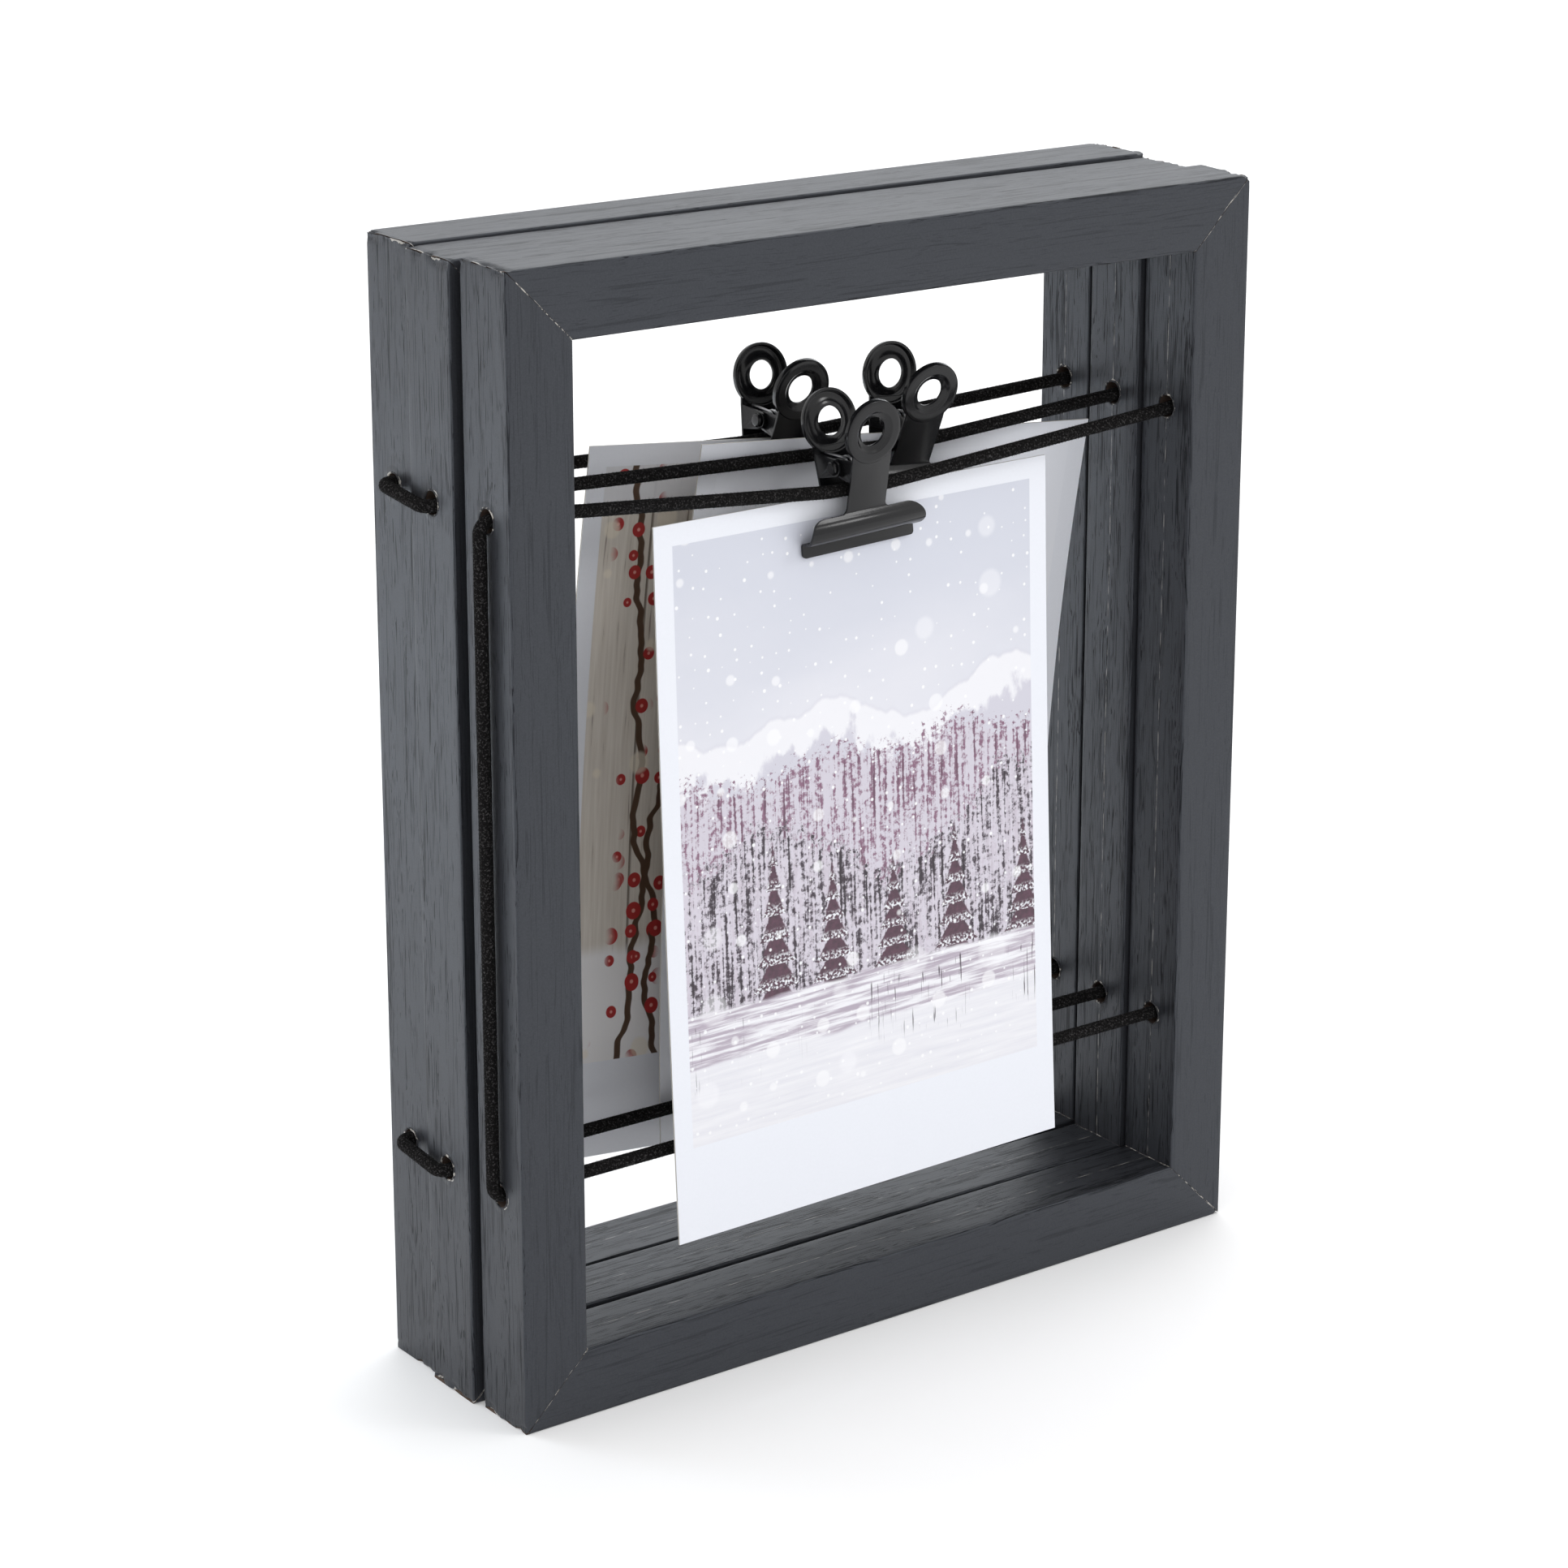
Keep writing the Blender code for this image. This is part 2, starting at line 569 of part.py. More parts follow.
def spring_path():
    """The torsion spring: a leg off the rear handle, a coil about the pin, and a leg to the front handle."""
    wire = SPRING_WIRE / 2
    leg_out = neck_out(SPRING_LEG_RISE) - PLATE_THICKNESS / 2 / math.cos(NECK_LEAN) - CLEARANCE - wire
    bearing = math.atan2(SPRING_LEG_RISE, leg_out)
    touch = bearing + math.acos(SPRING_RADIUS / math.hypot(leg_out, SPRING_LEG_RISE))
    sweep = 2 * math.pi * SPRING_TURNS - 2 * (touch - math.pi / 2)
    length = SPRING_PITCH * sweep / (2 * math.pi)
    path = [Vector((-length / 2, leg_out, SPRING_LEG_RISE))]
    steps = SPRING_TURNS * CURL_STEPS
    for step in range(steps + 1):
        angle = touch + sweep * step / steps
        along = length * (step / steps - 0.5)
        path.append(Vector((along, SPRING_RADIUS * math.cos(angle), SPRING_RADIUS * math.sin(angle))))
    path.append(Vector((length / 2, -leg_out, SPRING_LEG_RISE)))
    return path


def least_gap(path, diameter):
    """The least gap between stretches of a tube that aren't neighbours along it."""
    fine = np.array([a.lerp(b, t) for a, b in zip(path, path[1:]) for t in np.linspace(0, 1, 8, endpoint=False)])
    apart = np.linalg.norm(fine[:, None] - fine[None], axis=2)
    along = np.concatenate([[0], np.cumsum(np.linalg.norm(np.diff(fine, axis=0), axis=1))])
    neighbours = np.abs(along[:, None] - along[None]) < math.pi * SPRING_RADIUS
    return apart[~neighbours].min() - diameter


def photo_card(name, hanging):
    """A card in the clip's frame: flat between the jaws, then curled to pass the lower cord on its side."""
    top = hanging.card_rise - PIN_ABOVE_CORD
    cord_to_cord = (HOLE_HEIGHTS["upper"] - hanging.sag - HOLE_HEIGHTS["lower"]) / math.cos(hanging.lean)
    flat_out = hanging.side * CARD_TO_CORD + cord_to_cord * math.sin(hanging.lean)
    curled_out = hanging.foot_side * (CARD_TO_CORD + hanging.foot_off)
    curl = (flat_out - curled_out) / (cord_to_cord + PIN_ABOVE_CORD - JAW_DROP) ** 2

    def build(bm):
        place = Matrix.Translation((hanging.card_shift, 0, top)) @ Matrix.Rotation(hanging.card_turn, 4, "Y")
        place = place @ Matrix.Translation((0, 0, -CARD_HEIGHT / 2)) @ Matrix.Rotation(math.pi / 2, 4, "X")
        bmesh.ops.create_grid(bm, x_segments=CARD_COLUMNS, y_segments=CARD_ROWS, size=0.5,
                              matrix=place @ Matrix.Diagonal((CARD_WIDTH, CARD_HEIGHT, 1, 1)))
        for vert in bm.verts:
            below = max(0.0, -JAW_DROP - vert.co.z)
            vert.co.y -= curl * below ** 2

    obj = add_cutter(name, mesh_from(name, build))
    wall = obj.modifiers.new("wall", "SOLIDIFY")
    wall.thickness = CARD_THICKNESS
    wall.offset = 0
    return baked(obj)


def make_clip(panel, shapes, finishes):
    """A clip on the panel's upper cord, with its card. The empty on the pin carries the pieces."""
    hanging = HANGING[panel.name]
    cord = Matrix.Translation((hanging.along, 0, HOLE_HEIGHTS["upper"] - hanging.sag))
    turn = Matrix.Rotation(hanging.yaw, 4, "Z") @ Matrix.Rotation(hanging.lean, 4, "X")
    turn = turn @ Matrix.Rotation(hanging.roll, 4, "Y")
    pin_place = cord @ turn @ Matrix.Translation((0, hanging.side * CARD_TO_CORD, PIN_ABOVE_CORD))
    carrier = add_empty(f"{panel.name}_clip_axis", panel.foot @ pin_place, panel.empty)
    pieces = {
        "clip_front_jaw": (shapes["front_jaw"], finishes["enamel"]),
        "clip_rear_jaw": (shapes["rear_jaw"], finishes["enamel"]),
        "clip_pin": (shapes["pin"], finishes["enamel"]),
        "clip_spring": (shapes["spring"], finishes["steel"]),
        "photo_card": (photo_card(f"{panel.name}_card", hanging), finishes["card"]),
    }
    for piece, (data, material) in pieces.items():
        obj = add_part(f"{panel.name}_{piece}", data, material)
        obj.parent = carrier
        if piece == "clip_rear_jaw":
            obj.rotation_euler.z = math.pi


def main():
    clear_scene()
    finishes = make_finishes()
    front, middle, back = Panel("front", -1), Panel("middle", 0), Panel("back", 1)
    wire = spring_path()
    print(f"least gap in the springs: {least_gap(wire, SPRING_WIRE) / MM:.2f} mm")
    shapes = {
        "front_jaw": jaw_plate("front_jaw", INNER_EAR_X),
        "rear_jaw": jaw_plate("rear_jaw", OUTER_EAR_X),
        "pin": hinge_pin(),
        "spring": tube("spring", wire, SPRING_WIRE, 1),
    }
    for panel in (front, middle, back):
        make_panel(panel, finishes)
        make_crossings(panel, finishes)
        make_clip(panel, shapes, finishes)
    make_side_run(front, -1, finishes)
    make_side_run(back, 1, finishes)
    make_ties("left", -1, back, middle, finishes)
    make_ties("right", 1, middle, front, finishes)


main()
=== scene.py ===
"""A folding wooden photo frame, finished over its CAD frame and laid out as an add-on.

Each operator makes one kind of piece from the sizes and colours in the sidebar. main() runs all of them in
order. Lengths are in metres, +X to the right, +Y to the back and +Z up, as in the CAD frame.
"""

import json
import math
from collections import namedtuple

import bmesh
import bpy
import numpy as np
from bpy.props import FloatProperty, FloatVectorProperty, IntProperty, PointerProperty
from mathutils import Matrix, Vector

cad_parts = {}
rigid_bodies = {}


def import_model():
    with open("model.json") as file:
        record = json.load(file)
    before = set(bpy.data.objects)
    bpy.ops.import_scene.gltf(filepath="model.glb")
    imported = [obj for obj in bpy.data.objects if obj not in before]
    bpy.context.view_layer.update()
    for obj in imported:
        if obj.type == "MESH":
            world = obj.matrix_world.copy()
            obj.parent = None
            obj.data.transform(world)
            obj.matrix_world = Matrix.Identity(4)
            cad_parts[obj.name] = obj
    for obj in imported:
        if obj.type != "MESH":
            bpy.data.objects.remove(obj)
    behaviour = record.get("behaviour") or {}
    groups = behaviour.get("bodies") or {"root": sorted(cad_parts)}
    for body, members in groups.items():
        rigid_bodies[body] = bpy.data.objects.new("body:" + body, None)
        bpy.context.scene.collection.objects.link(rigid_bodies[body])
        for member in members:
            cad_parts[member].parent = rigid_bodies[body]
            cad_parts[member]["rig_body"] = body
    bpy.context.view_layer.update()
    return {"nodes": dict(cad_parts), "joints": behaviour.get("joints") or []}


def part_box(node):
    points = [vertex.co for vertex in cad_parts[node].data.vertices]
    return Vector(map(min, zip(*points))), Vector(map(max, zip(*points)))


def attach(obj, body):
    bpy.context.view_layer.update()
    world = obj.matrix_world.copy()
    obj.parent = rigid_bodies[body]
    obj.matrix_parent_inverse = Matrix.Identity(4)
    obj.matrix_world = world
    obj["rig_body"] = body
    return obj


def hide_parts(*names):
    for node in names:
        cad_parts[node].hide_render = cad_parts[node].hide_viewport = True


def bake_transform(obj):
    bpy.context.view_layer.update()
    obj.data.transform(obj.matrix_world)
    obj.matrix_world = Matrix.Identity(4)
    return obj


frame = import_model()

bl_info = {
    "name": "Folding Photo Frame",
    "version": (1, 0, 0),
    "blender": (4, 5, 0),
    "location": "View3D > Sidebar > Photo Frame",
    "description": "Finished mouldings, cords, clips and cards of a folding photo frame",
    "category": "Object",
}

MM = 0.001
PANELS = ("front", "middle", "back")

# Read from the CAD frame. The middle panel stands square to the axes, a little to the left of the outer two
STILE_LOW, STILE_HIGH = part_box("middle_left_stile")
RIGHT_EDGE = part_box("middle_right_stile")[1].x
PANEL_WIDTH = RIGHT_EDGE - STILE_LOW.x
PANEL_HEIGHTS = {name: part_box(f"{name}_top_rail")[1].z for name in PANELS}
PANEL_HEIGHT = PANEL_HEIGHTS["front"]
SIDE_STEP = -RIGHT_EDGE - STILE_LOW.x
MOULDING_FACE = STILE_HIGH.x - STILE_LOW.x
MOULDING_DEPTH = STILE_HIGH.y - STILE_LOW.y
LOWER_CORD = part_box("middle_lower_cord")
CORD_DIAMETER = LOWER_CORD[1].z - LOWER_CORD[0].z
CORD_END = (LOWER_CORD[1].x - LOWER_CORD[0].x) / 2
LOWER_HOLE = (LOWER_CORD[1].z + LOWER_CORD[0].z) / 2
UPPER_HOLE = PANEL_HEIGHT - LOWER_HOLE
HOLE_HEIGHTS = {"upper": UPPER_HOLE, "lower": LOWER_HOLE}

# The moulding and its holes. Each member takes its grain some steps along the same wood
MITRE_GAP = 0.2 * MM
HOLE_RADIUS = CORD_DIAMETER / 2 + 1.1 * MM
CLEARANCE = 0.3 * MM
CORD_OFF_FACE = CORD_DIAMETER / 2 + CLEARANCE
MOULDING_STATIONS = 161
GRAIN_STEP = 0.7

# Filler in the mitres: how far it stands out, in millimetres, how much of it is pale, what share of the gap
# each half takes, and how far it is lost at the outer corner. Then the torn foil round the holes' mouths
FILLER_SWELL = (-0.14, 0.05)
FILLER_SHARE = 0.32
FILLER_HALF = 0.47
CORNER_CHIP = 0.6 * MM
RIM_OUT = 0.1 * MM
RIM_BEAD = 0.2 * MM
RIM_RAGGED = 0.6 * MM
RIM_SHARE = 0.3

# The cord. A tie runs from a hole in one panel to the same hole in the next
CORD_FACETS = 40
CORD_STEP = 0.3 * MM
CORD_BEND = 10 * CORD_DIAMETER
FIBRE_LENGTH = 0.6 * MM
FIBRE_RADIUS = 0.016 * MM
TIE_SLANT = 0.8 * MM

# Cards
CARD_WIDTH = 102 * MM
CARD_HEIGHT = 152 * MM
CARD_THICKNESS = 0.4 * MM
CARD_TO_CORD = CARD_THICKNESS / 2 + CLEARANCE + CORD_DIAMETER / 2

# Bulldog clips, each drawn with its hinge pin at the origin
PLATE_THICKNESS = 0.5 * MM
JAW_WIDTH = 29.6 * MM
JAW_DROP = 17.2 * MM
JAW_CORNER = 4.0 * MM
LIP_HEIGHT = 3.0 * MM
LIP_INSET = 0.4 * MM
LIP_CORNER = 0.8 * MM
LIP_FLARE = 0.2 * MM
CREASE_RADIUS = 0.6 * MM
BULGE_RADIUS = 2.6 * MM
BULGE_OUT = 5.0 * MM
NECK_WIDTH = 9.8 * MM
NECK_FILLET = 1.2 * MM
NECK_FOOT_DROP = 8.7 * MM
NECK_LEAN = math.radians(13.5)
NECK_BEND = 0.8 * MM
HANDLE_LEAN = math.radians(10)
HANDLE_BEND = 3.0 * MM
PRESSED_EDGE = 0.09 * MM
RING_RADIUS = 6.85 * MM
RING_HEIGHT = 8.0 * MM
RING_STEP = 0.6 * MM
RIM_DEPTH = 1.3 * MM
EYE_RADIUS = 3.1 * MM
EYE_DEPTH = 0.8 * MM
CREST_FROM_EYE = 1.5 * MM
CREST_FROM_RIM = 0.8 * MM
EAR_RADIUS = 1.9 * MM
EAR_FOOT_DROP = 3.0 * MM
EAR_HEAD_RISE = 2.0 * MM
PIN_RADIUS = 0.9 * MM
PIN_HEAD_RADIUS = 1.5 * MM
PIN_HEAD_HEIGHT = 0.55 * MM
PIN_ABOVE_CORD = 4.5 * MM
SPRING_WIRE = 0.6 * MM
SPRING_RADIUS = 1.9 * MM
SPRING_PITCH = 1.3 * MM
SPRING_TURNS = 4
SPRING_LEG_RISE = 2.0 * MM
SPRING_FACETS = 14
SPRING_STEP = 0.12 * MM
SPRING_ROUGHNESS = 0.3
NAIL_ROUGHNESS = 0.35
LIP_OUT = CARD_THICKNESS / 2 + CLEARANCE + PLATE_THICKNESS / 2
NECK_FOOT_OUT = CARD_TO_CORD + CORD_DIAMETER / 2 + CLEARANCE + PLATE_THICKNESS / 2
CREASE_DROP = JAW_DROP - LIP_HEIGHT
OUTER_EAR_X = NECK_WIDTH / 2 - PLATE_THICKNESS * 0.6
INNER_EAR_X = OUTER_EAR_X - PLATE_THICKNESS - CLEARANCE
PIN_HALF_LENGTH = OUTER_EAR_X + PLATE_THICKNESS / 2 + CLEARANCE

# How each clip and card hangs: place along the cord, sag of the cord under it, the side of the cord that the
# card is on (1 behind it, -1 before it), lean of the clip (positive swings its foot back), roll (positive is
# clockwise from the front), yaw (positive swings its right side back), the card's own turn in the jaws, its
# shift sideways, its top edge above the cord, the side of the lower cord that it curls to, and how far it
# stands off that cord
Hanging = namedtuple("Hanging", (
    "along", "sag", "side", "lean", "roll", "yaw",
    "card_turn", "card_shift", "card_rise", "foot_side", "foot_off"))
HANGING = {
    "front": Hanging(
        along=-4.4 * MM, sag=6.1 * MM, side=1,
        lean=math.radians(-1.8), roll=math.radians(-1.8), yaw=math.radians(1.3),
        card_turn=math.radians(1.7), card_shift=0.6 * MM, card_rise=-1.0 * MM,
        foot_side=-1, foot_off=2.0 * MM),
    "middle": Hanging(
        along=22.2 * MM, sag=3.5 * MM, side=1,
        lean=math.radians(6.2), roll=math.radians(4.5), yaw=math.radians(-0.6),
        card_turn=math.radians(0), card_shift=-0.3 * MM, card_rise=1.8 * MM,
        foot_side=1, foot_off=0.8 * MM),
    "back": Hanging(
        along=-2.0 * MM, sag=2.9 * MM, side=-1,
        lean=math.radians(2.1), roll=math.radians(5.2), yaw=math.radians(0.3),
        card_turn=math.radians(0.5), card_shift=4.0 * MM, card_rise=0.5 * MM,
        foot_side=-1, foot_off=4.6 * MM),
}

# Where the photograph was taken from: the camera's place, its axes, and its lens
CAMERA_PLACE = Vector((-0.50044, -0.69568, 0.39372))
CAMERA_RIGHT = Vector((0.79423, -0.60751, 0.01118))
CAMERA_AHEAD = Vector((0.58590, 0.76085, -0.27897))
CAMERA_LENS = 97.0
CAMERA_SHIFT = (-0.1094, -0.0861)
CAMERA_SENSOR = 36.0
CAMERA_NEAR = 0.01

# Lamps: the size of a square softbox, its place and what it faces
Lamp = namedtuple("Lamp", "size place target")
FRAME_MIDDLE = Vector((0, 0, PANEL_HEIGHT / 2))
KEY_LAMP = Lamp(1.4, Vector((1.1, 0.9, 1.7)), FRAME_MIDDLE)
SPARKLE_LAMP = Lamp(0.3, Vector((0.7, -0.8, 1.1)), FRAME_MIDDLE)
BACKDROP_LAMP = Lamp(1.2, Vector((0.9, 1.3, 0.65)), FRAME_MIDDLE)
FLOOR_LAMP = Lamp(0.5, Vector((-0.75, 1.1, 1.0)), Vector((-0.46, 0.55, 0)))
FLOOR_LAMP_SPREAD = math.radians(40)
BACKDROP_SHARE = 0.16
FLOOR_SHARE = 0.2
FLOOR_SIZE = 8.0

# Attributes that carry a pattern from a piece's shape to its material
GRAIN = "grain"
TO_MITRE = "to_mitre"
TO_HOLE = "to_hole"
WEAVE = "weave"
SHARP_ANGLE = math.radians(40)
WELD = 1e-6
SOCKET_NAMES = {"specular_ior_level": "Specular IOR Level"}


class Num:
    """A number that flows through a node tree. Sums and products of it add Math nodes."""

    def __init__(self, tree, socket):
        self.tree = tree
        self.socket = socket

    def __add__(self, other):
        return self.tree.math("ADD", self, other)

    def __sub__(self, other):
        return self.tree.math("SUBTRACT", self, other)

    def __rsub__(self, other):
        return self.tree.math("SUBTRACT", other, self)

    def __mul__(self, other):
        return self.tree.math("MULTIPLY", self, other)

    def __truediv__(self, other):
        return self.tree.math("DIVIDE", self, other)

    __radd__ = __add__
    __rmul__ = __mul__


class Tree:
    """A shader or geometry node tree, with short calls for the nodes used most."""

    def __init__(self, nodes, links):
        self.nodes = nodes
        self.links = links

    def add(self, kind, inputs=None, **settings):
        node = self.nodes.new(kind)
        node.location = (200 * (len(self.nodes) % 12), -300 * (len(self.nodes) // 12))
        for name, value in settings.items():
            setattr(node, name, value)
        for name, value in (inputs or {}).items():
            self.feed(node.inputs[name], value)
        return node

    def out(self, kind, inputs=None, **settings):
        """The first output of a new node."""
        return self.add(kind, inputs, **settings).outputs[0]

    def feed(self, socket, value):
        """Links a socket or number to an input, or sets a plain value there."""
        if isinstance(value, Num):
            value = value.socket
        if isinstance(value, bpy.types.NodeSocket):
            self.links.new(value, socket)
        else:
            socket.default_value = value

    def math(self, operation, *values):
        return Num(self, self.out("ShaderNodeMath", dict(enumerate(values)), operation=operation))

    def smooth(self, value, start, end):
        """0 below start and 1 above end, eased between them. It falls if start is above end."""
        inputs = {"Value": value, "From Min": start, "From Max": end}
        return Num(self, self.out("ShaderNodeMapRange", inputs, interpolation_type="SMOOTHSTEP"))

    def spread(self, value, low, high):
        """A number from 0 to 1, spread between low and high."""
        return Num(self, self.out("ShaderNodeMapRange", {"Value": value, "To Min": low, "To Max": high}))

    def combine(self, x, y, z):
        return self.out("ShaderNodeCombineXYZ", {"X": x, "Y": y, "Z": z})

    def parts(self, vector):
        node = self.add("ShaderNodeSeparateXYZ", {"Vector": vector})
        return [Num(self, output) for output in node.outputs]

    def noise(self, vector, scale=1.0, detail=2.0, roughness=0.5):
        inputs = {"Vector": vector, "Scale": scale, "Detail": detail, "Roughness": roughness}
        return Num(self, self.out("ShaderNodeTexNoise", inputs))

    def noise_at(self, x, y, z, detail=2.0, roughness=0.5):
        """Noise at a point that is already scaled along each axis."""
        return self.noise(self.combine(x, y, z), detail=detail, roughness=roughness)

    def chance(self, x, y):
        """A fixed random number from 0 to 1 for each pair of whole numbers."""
        inputs = {"Vector": self.combine(x, y, 0.0)}
        return Num(self, self.add("ShaderNodeTexWhiteNoise", inputs, noise_dimensions="2D").outputs["Value"])

    def mix(self, factor, a, b):
        """Colour a where the factor is 0, and b where it is 1."""
        node = self.add("ShaderNodeMix", data_type="RGBA")
        self.feed(node.inputs[0], factor)
        for socket, colour in ((node.inputs[6], a), (node.inputs[7], b)):
            self.feed(socket, (*colour, 1) if isinstance(colour, (tuple, list)) else colour)
        return node.outputs[2]


def shades(colour, *factors):
    """Lighter and darker shades of one colour."""
    return [tuple(min(1.0, channel * factor) for channel in colour) for factor in factors]


def new_material(name, **sockets):
    """A material with its tree and Principled shader. Plain values are set on the shader's own sockets."""
    material = bpy.data.materials.new(name)
    material.use_nodes = True
    tree = Tree(material.node_tree.nodes, material.node_tree.links)
    shader = material.node_tree.nodes["Principled BSDF"]
    for socket, value in sockets.items():
        shader.inputs[SOCKET_NAMES.get(socket, socket.replace("_", " ").title())].default_value = value
    return material, tree, shader


def object_place(tree):
    return tree.add("ShaderNodeTexCoord").outputs["Object"]


def bump(tree, shader, height, depth, strength=1.0):
    inputs = {"Height": height, "Distance": depth, "Strength": strength}
    tree.feed(shader.inputs["Normal"], tree.out("ShaderNodeBump", inputs))


def foil_material(look):
    """Printed wood foil: charcoal with pores along the grain, a faint torn seam, and chips at the mitres."""
    material, tree, shader = new_material("charcoal_foil", specular_tint=(0.84, 0.90, 1.0, 1.0))
    along, depth, height = tree.parts(tree.add("ShaderNodeAttribute", attribute_name=GRAIN).outputs["Vector"])
    to_mitre = Num(tree, tree.add("ShaderNodeAttribute", attribute_name=TO_MITRE).outputs["Fac"])
    to_hole = Num(tree, tree.add("ShaderNodeAttribute", attribute_name=TO_HOLE).outputs["Fac"])
    inner = tree.smooth(height, MOULDING_FACE - 0.9 * MM, MOULDING_FACE - 0.2 * MM)
    outer = tree.smooth(height, 0.9 * MM, 0.2 * MM)
    sides = tree.math("MAXIMUM", inner, outer)
    # Grain: streaks and rings that wander a little, short pores, and longer broken vessels
    wander = tree.noise_at(along * 22, depth * 120, height * 120) * (5 * MM)
    across, rise = depth + wander, height + wander
    streak = tree.noise_at(along * 16, across * 900, rise * 900, detail=3)
    rings = tree.noise_at(along * 12, across * 330, rise * 330, detail=1)
    pore = tree.noise_at(along * 85, across * 4600, rise * 4600, detail=1)
    pore = tree.smooth(pore + rings * 0.34 + inner * 0.03, 0.775, 0.84) * tree.spread(sides, 0.2, 0.8)
    across, rise = depth + wander * 0.3, height + wander * 0.3
    vessel = tree.math("ABSOLUTE", tree.noise_at(along * 7, across * 480, rise * 480, detail=1) - 0.5)
    broken = tree.smooth(tree.noise_at(along * 60, across * 500, rise * 500), 0.46, 0.56)
    vessel = tree.smooth(vessel, 0.026, 0.006) * broken * tree.spread(sides, 0.25, 0.65)
    pore = tree.math("MAXIMUM", pore, vessel)
    speck = tree.noise_at(along * 2600, depth * 2600, height * 2600, detail=2)
    shade = (streak - 0.5) * tree.spread(sides, 0.2, 0.55) + (speck - 0.5) * 0.5 + 0.5
    colour = tree.mix(shade, *shades(look.colour, 0.5, 1.5))
    colour = tree.mix(pore, colour, shades(look.colour, 0.2)[0])
    # The glued seam along the inner face, torn in dashes
    off_seam = tree.math("ABSOLUTE", depth + (tree.noise_at(along * 40, 0.0, 3.0) - 0.5) * (0.7 * MM))
    dashes = tree.noise_at(along * 260, depth * 700, 1.0, detail=4)
    dashes = dashes + tree.noise_at(along * 30, 0.0, 8.0) * 0.3
    seam = tree.smooth(off_seam, 0.15 * MM, 0.06 * MM) * inner * tree.smooth(dashes, 0.58, 0.78)
    colour = tree.mix(seam * 0.42, colour, look.torn_colour[:])
    # Chips at the mitres, which reach further on the outer face, and burrs round the holes
    ragged = tree.noise_at(along * 900, depth * 900, height * 900, detail=4)
    stretch = tree.smooth(tree.noise_at(along * 150, depth * 150, height * 150), 0.48, 0.60)
    reach = (ragged + stretch * 0.35 - 0.74) * tree.spread(outer, 0.6 * MM, 2.2 * MM)
    chip = tree.smooth(to_mitre - reach, 0.04 * MM, -0.02 * MM)
    burr = tree.smooth(to_hole - (ragged + stretch * 0.5 - 0.65) * (1.4 * MM), 0.05 * MM, -0.1 * MM)
    chip = tree.math("MAXIMUM", chip, burr)
    raised = tree.smooth(to_hole, 1.7 * MM, 0.5 * MM) * 4
    colour = tree.mix(chip * 0.65, colour, look.torn_colour[:])
    tree.feed(shader.inputs["Base Color"], colour)
    tree.feed(shader.inputs["Roughness"], tree.spread(streak, look.roughness - 0.05, look.roughness + 0.08))
    tree.feed(shader.inputs["Specular IOR Level"], (1.0 - pore * 0.85) * tree.spread(shade, 0.42, 0.66))
    bump(tree, shader, speck * 0.12 + streak * 0.15 - pore + seam * 0.6 + raised, 0.05 * MM, 0.5)
    return material


def wood_material(look):
    """Bare wood fibre in the holes and mitre cuts."""
    material, tree, shader = new_material("bare_wood", roughness=0.85)
    fibre = tree.noise(object_place(tree), scale=1800.0, detail=4)
    dark, light = shades(look.wood_colour, 0.6, 1.3)
    tree.feed(shader.inputs["Base Color"], tree.mix(fibre, dark, light))
    bump(tree, shader, fibre, 0.1 * MM, 0.5)
    return material


def torn_material(name, look, share):
    """Pale torn fibres and filler that show between dark foil. Share is about how much of it is pale."""
    material, tree, shader = new_material(name, roughness=0.75)
    place = object_place(tree)
    ragged = tree.noise(place, scale=520.0, detail=5, roughness=0.65)
    tint = tree.noise(place, scale=1500.0, detail=2)
    pale = tree.mix(tint, shades(look.torn_colour, 0.6)[0], look.torn_colour[:])
    mask = tree.smooth(ragged, 0.62 - share * 0.3, 0.70 - share * 0.3)
    tree.feed(shader.inputs["Base Color"], tree.mix(mask, look.colour[:], pale))
    bump(tree, shader, ragged, 0.1 * MM, 0.6)
    return material


def steel_material(name, colour, roughness):
    """Bright steel with fine drawing lines."""
    material, tree, shader = new_material(name, metallic=1.0)
    x, y, z = tree.parts(object_place(tree))
    lines = tree.noise_at(x * 4000, y * 600, z * 4000, detail=3)
    dark, light = shades(colour, 0.75, 1.15)
    tree.feed(shader.inputs["Base Color"], tree.mix(lines, dark, light))
    tree.feed(shader.inputs["Roughness"], tree.spread(lines, roughness - 0.08, roughness + 0.12))
    return material


def enamel_material(look):
    """Black stoving enamel: glossy, faintly uneven, a little duller in patches."""
    material, tree, shader = new_material("black_enamel", specular_ior_level=0.36)
    place = object_place(tree)
    skin = tree.noise(place, scale=900.0, detail=2)
    dull = tree.noise(place, scale=120.0, detail=3)
    dark, light = shades(look.colour, 0.8, 1.4)
    tree.feed(shader.inputs["Base Color"], tree.mix(dull, dark, light))
    tree.feed(shader.inputs["Roughness"], tree.spread(dull, look.roughness - 0.07, look.roughness + 0.12))
    bump(tree, shader, skin, 0.02 * MM, 0.5)
    return material


def braid_material(look):
    """Matt black yarn, with pale specks painted into its colour on the braid's crowns as highlights where
    loose fibres catch the light.
    """
    material, tree, shader = new_material("black_braid", roughness=0.95, specular_ior_level=0.1)
    crown = Num(tree, tree.add("ShaderNodeAttribute", attribute_name=WEAVE).outputs["Fac"])
    fibre = tree.noise(object_place(tree), scale=2400.0, detail=4, roughness=0.65)
    # Painted highlight: pale specks on the raised crowns of the braid stand for glints of light on loose
    # fibres
    painted_glint = tree.smooth(fibre, 0.50, 0.66) * crown
    tree.feed(shader.inputs["Base Color"], tree.mix(painted_glint, *shades(look.colour, 0.6, 7.0)))
    bump(tree, shader, fibre, 0.08 * MM, 0.8)
    return material


